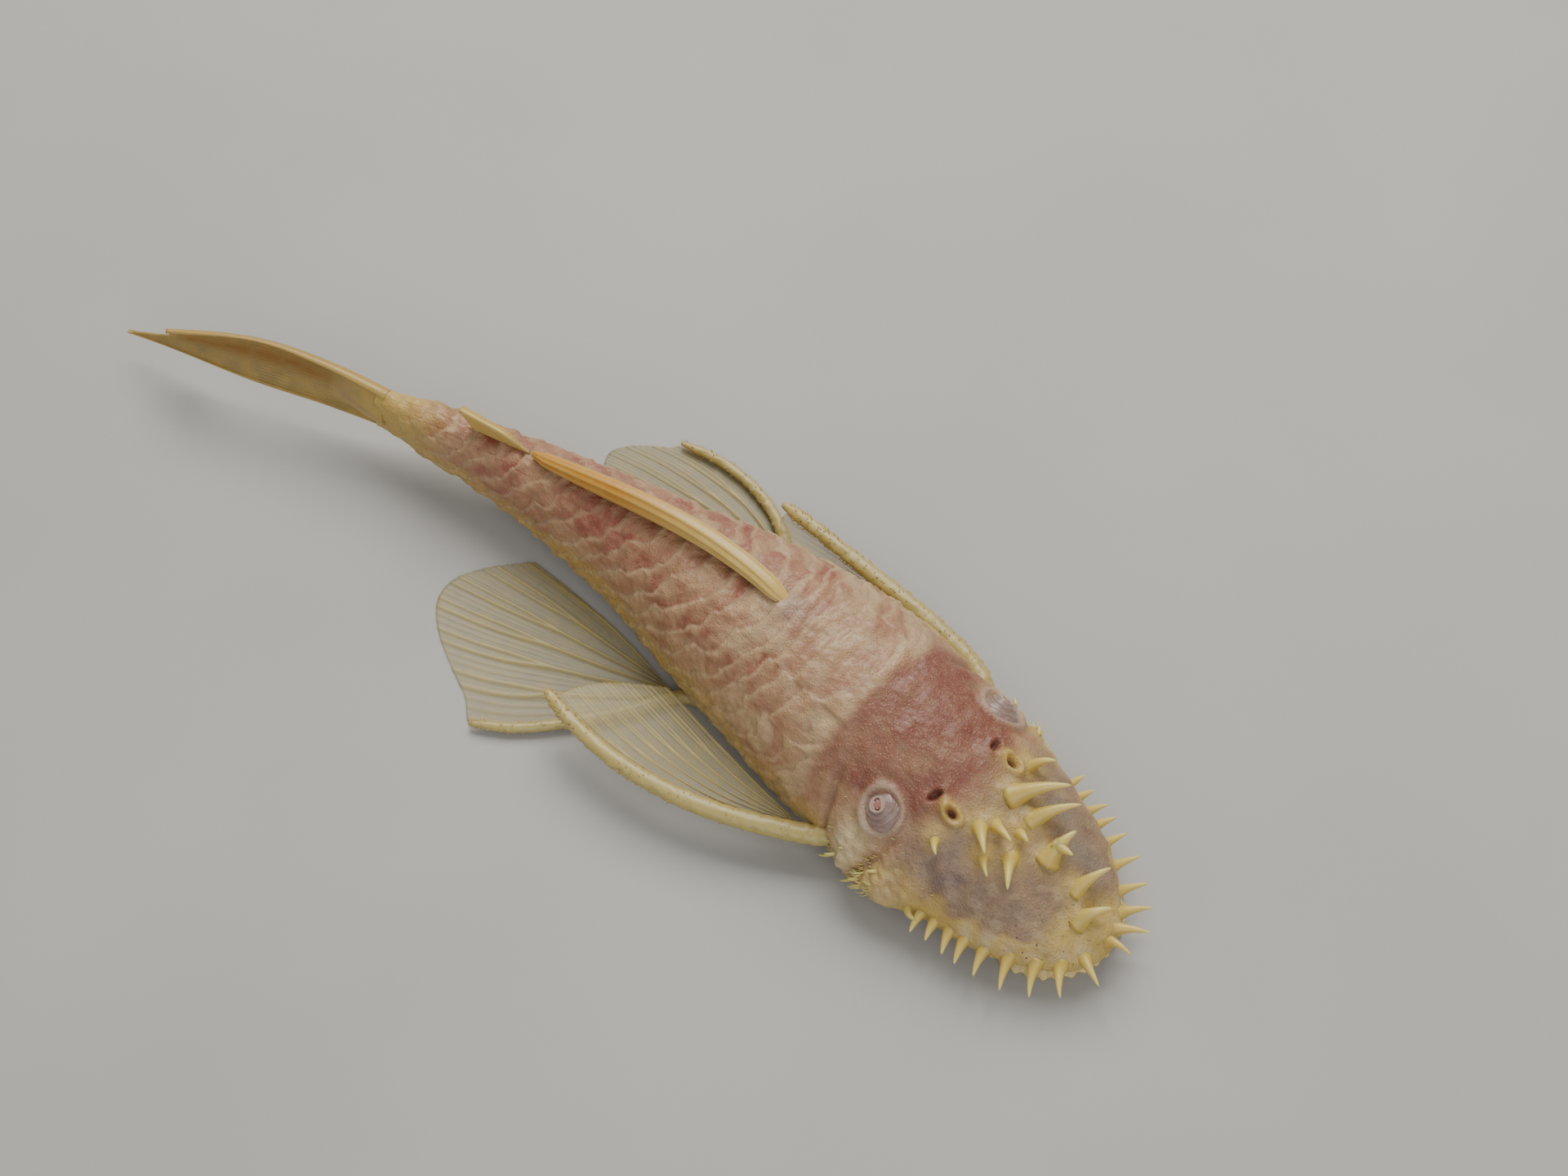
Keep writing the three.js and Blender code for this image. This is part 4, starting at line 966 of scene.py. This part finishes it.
# Adipose fin, a short spine with a web behind it
def adipose_at(a, r):
    low = body(np.array(72.0))[1] + 0.1
    s0 = 71.6 + 7.9 * r
    z0 = low + 0.2 + 0.8 * step(0, 0.4, r) + 0.6 * r
    s1 = 71.8 + 6.4 * r
    return s0 + (s1 - s0) * a, 0.1 + 0 * a, z0 + (body(s1)[1] + 0.1 - z0) * a


def adipose_thick(a, r, ray):
    return (0.3 + 0.6 * np.exp(-a / 0.15)) * (0.3 + 0.7 * step(0, 0.4, r))


def adipose_masks(a, r, ray):
    return {"ray": 1 + 0 * a}


fin_piece(
    "adipose_web", adipose_at, ADIPOSE_RAYS, adipose_thick, FIN_FOLDED, "adipose_fin",
    masks=adipose_masks, rows=40, per_ray=16)


# Anal fin, folded under the tail stem
def anal_at(a, r):
    def high(s):
        return body(s)[3] - 0.15

    s0 = 67 + 8 * r
    s1 = 67.5 + 9.5 * r
    z0 = (high(67.0) - 0.5) + (0.45 - high(67.0) + 0.5) * smooth(r)
    return s0 + (s1 - s0) * a, 0 * a, z0 + (high(s1) - z0) * a


fin_piece(
    "anal_web", anal_at, ANAL_RAYS, thin(0.2, 0.55), FIN_PALE, "anal_fin", rows=50, per_ray=14)


# Eyes: low domes with folded rings, a raised disc set to one side and a pupil of two slits
EYE_DISC = {1: (0.1, -0.15), -1: (-0.18, 0.3)}


def eye(side):
    p, n = surface(EYE_S, side, float(angle_for(EYE_S, EYE_OUT)))
    centre = p - n * 0.75
    u = np.cross([0, 0, 1.0], n)
    u /= np.linalg.norm(u)
    v = np.cross(n, u)
    polar = np.linspace(0.0, 2.2, 150)[:, None]
    turn = np.linspace(0, 2 * math.pi, 145)[:-1][None, :]
    x = np.sin(polar) * np.cos(turn)
    y = np.sin(polar) * np.sin(turn)
    cx, cy = EYE_DISC[side]
    wave = 0.03 * np.sin(3 * turn + 1) + 0.02 * np.sin(5 * turn)
    disc_r = np.hypot(x - cx, y - cy) * (1 + wave)
    inner = 1 - step(0.3, 0.37, disc_r)
    outer = 1 - step(0.56, 0.64, disc_r)
    rings = 0.05 * bump(disc_r, 0.33, 0.035) + 0.035 * bump(disc_r, 0.6, 0.05)
    rings += 0.03 * bump(disc_r, 0.86, 0.06)
    rings += 0.012 * np.cos(2 * math.pi * disc_r / 0.075) * (1 - inner) * (1 - step(0.8, 1.0, disc_r))
    lift = 0.07 * inner + 0.05 * outer
    slits = np.zeros_like(disc_r)
    for k in (-1, 1):
        dx, dy = x - cx - 0.1 * k, y - cy + 0.08 * k
        bent = np.abs(np.hypot(dx, dy) - 0.1)
        open_side = step(-0.05, 0.05, k * (dx * 0.8 - dy * 0.6))
        slits = np.maximum(slits, (1 - step(0.018, 0.045, bent)) * open_side)
    pink = 1 - step(0.14, 0.2, np.hypot(x - cx, y - cy))
    disc = np.clip(inner - 0.5 * pink, 0, 1)
    radius = EYE_RADIUS * (1 + rings + lift - 0.06 * slits - 0.03 * pink)
    q = centre + radius[..., None] * (
        0.87 * x[..., None] * u + 0.87 * y[..., None] * v + 0.66 * (np.cos(polar) + 0 * turn)[..., None] * n)
    b = Bundle()
    # ring: painted shade, darker in the grooves between the folded rings and in a ring round the raised disc
    ring = np.clip(0.6 - rings * 16, 0, 1) * step(0.36, 0.42, disc_r) * (1 - step(0.9, 1.05, disc_r))
    b.add(q, ring=0.55 * ring, disc=disc, pupil=np.clip(slits, 0, 1), pink=pink)
    name = "left" if side > 0 else "right"
    b.piece("eyeball_" + name, EYE, "eye", ("eye_" + name,))


eye(1)
eye(-1)


# The sucker mouth under the snout
DISC_FRONT, DISC_REAR, DISC_HALF = 0.4, 14.6, 7.2


def sucker():
    around = 180
    r = np.concatenate([np.linspace(0.02, 0.95, 60), np.linspace(0.96, 1.0, 6)])[:, None]
    t = np.linspace(0, 2 * math.pi, around + 1)[:-1][None, :]
    mid, half = (DISC_FRONT + DISC_REAR) / 2, (DISC_REAR - DISC_FRONT) / 2
    scallop = 1 - 0.025 * step(0.8, 1, r) * (1 + np.cos(34 * t))
    s = mid - half * r * scallop * np.cos(t)
    y = DISC_HALF * r * scallop * np.sin(t)
    roof = body(np.clip(s, 1.5, 20))[3] - 0.25
    hollow = np.minimum(0.8, roof - 0.55) * (1 - step(0.5, 0.72, r))
    flat = np.stack([s, y, 0 * s], -1)
    papillae = 0.1 * np.clip(waves(flat, 0.7, 61), 0, 1) * step(0.5, 0.6, r) * (1 - step(0.93, 0.98, r))
    lift = 0.35 * step(0.93, 1.0, r) ** 2
    low = np.maximum(np.maximum(hollow, 0) + papillae + lift, 0)
    lip = step(0.74, 1.02, r)
    top = (roof + 0.3) * (1 - lip) + 0.5 * lip + 0.12 * bump(r, 0.95, 0.05)
    top = np.maximum(top, low + 0.15)
    jaw_at = np.abs(s - mid) - 1.0 - 0.05 * y**2
    teeth = bump(jaw_at, 0, 0.35) * (1 - step(2.6, 3.2, np.abs(y)))
    low = low - 0.35 * teeth * step(0, 0.5, low)
    under = place(s, y, np.maximum(low, 0))
    over = place(s, y, top)
    rings = np.concatenate([under, over[::-1]])
    b = Bundle()
    stripes = teeth * (0.5 + 0.5 * np.cos(y * 2 * math.pi / 0.32))
    zero = np.zeros_like(s)
    b.add(
        rings, inside=np.concatenate([(1 - step(0.4, 0.62, r)) + 0 * s, zero]),
        teeth=np.concatenate([stripes, zero]))
    for side in (-1, 1):
        root = place(9, side * 5.8, 0.55)
        knee = place(10.4, side * 7.3, 0.7)
        tip = place(12.4, side * 8.2, 0.4)
        line = bezier(root, knee, tip, 12)
        k = np.linspace(0, 1, 12)
        b.add(tube(line, 0.38 * (1 - 0.8 * k), 10), inside=0 * k, teeth=0 * k)
    b.piece("mouth_disc", MOUTH, "mouth_skin", ("sucker_mouth",))


sucker()


# Floor, light and camera
FLOOR_HALF_METRES = 3.0


def floor():
    me = bpy.data.meshes.new("floor")
    w = FLOOR_HALF_METRES
    me.from_pydata([(-w, -w, 0), (w, -w, 0), (w, w, 0), (-w, w, 0)], [], [(0, 1, 2, 3)])
    ob = bpy.data.objects.new("floor", me)
    bpy.context.scene.collection.objects.link(ob)
    k = Look("floor_pale", 0.6)
    me.materials.append(k.finish(k.mix(k.span(k.noise(60, 3), 0.3, 0.7), (162, 159, 153), (168, 165, 159))))


floor()


def light(name, at, size, power, colour):
    data = bpy.data.lights.new(name, "AREA")
    data.size = size
    data.energy = power
    data.color = colour
    ob = bpy.data.objects.new(name, data)
    ob.location = at
    ob.rotation_euler = (-Vector(at)).to_track_quat("-Z", "Y").to_euler()
    bpy.context.scene.collection.objects.link(ob)


light("key", (-0.25, 0.35, 0.55), 0.5, 6.0, (1.0, 0.98, 0.95))
light("fill", (0.45, -0.35, 0.45), 0.6, 2.4, (0.95, 0.97, 1.0))
world = bpy.data.worlds.new("soft_sky")
world.use_nodes = True
world.node_tree.nodes["Background"].inputs["Color"].default_value = (0.95, 0.97, 1.0, 1)
world.node_tree.nodes["Background"].inputs["Strength"].default_value = 0.41
bpy.context.scene.world = world

VIEW_AZIMUTH, VIEW_ELEVATION, VIEW_ROLL = math.radians(41.2), math.radians(58.9), math.radians(0.2)
VIEW_DISTANCE = 249.0
VIEW_TARGET = Vector((-9.7, 5.25, 5.0))
FOCAL_PIXELS = 3224.0
IMAGE_WIDTH = 1920.0
SENSOR_WIDTH = 36.0


def camera():
    ca, sa = math.cos(VIEW_AZIMUTH), math.sin(VIEW_AZIMUTH)
    ce, se = math.cos(VIEW_ELEVATION), math.sin(VIEW_ELEVATION)
    back = Vector((sa * ce, -ca * ce, se))
    right = Vector((ca, sa, 0))
    up = back.cross(right)
    turn = Matrix.Rotation(VIEW_ROLL, 3, back)
    right, up = turn @ right, turn @ up
    data = bpy.data.cameras.new("camera")
    data.sensor_fit = "HORIZONTAL"
    data.sensor_width = SENSOR_WIDTH
    data.lens = FOCAL_PIXELS / IMAGE_WIDTH * SENSOR_WIDTH
    data.clip_start = 0.01
    ob = bpy.data.objects.new("camera", data)
    m = Matrix((right, up, back)).transposed().to_4x4()
    m.translation = (VIEW_TARGET + back * VIEW_DISTANCE) * MM
    ob.matrix_world = m
    bpy.context.scene.collection.objects.link(ob)
    bpy.context.scene.camera = ob


camera()
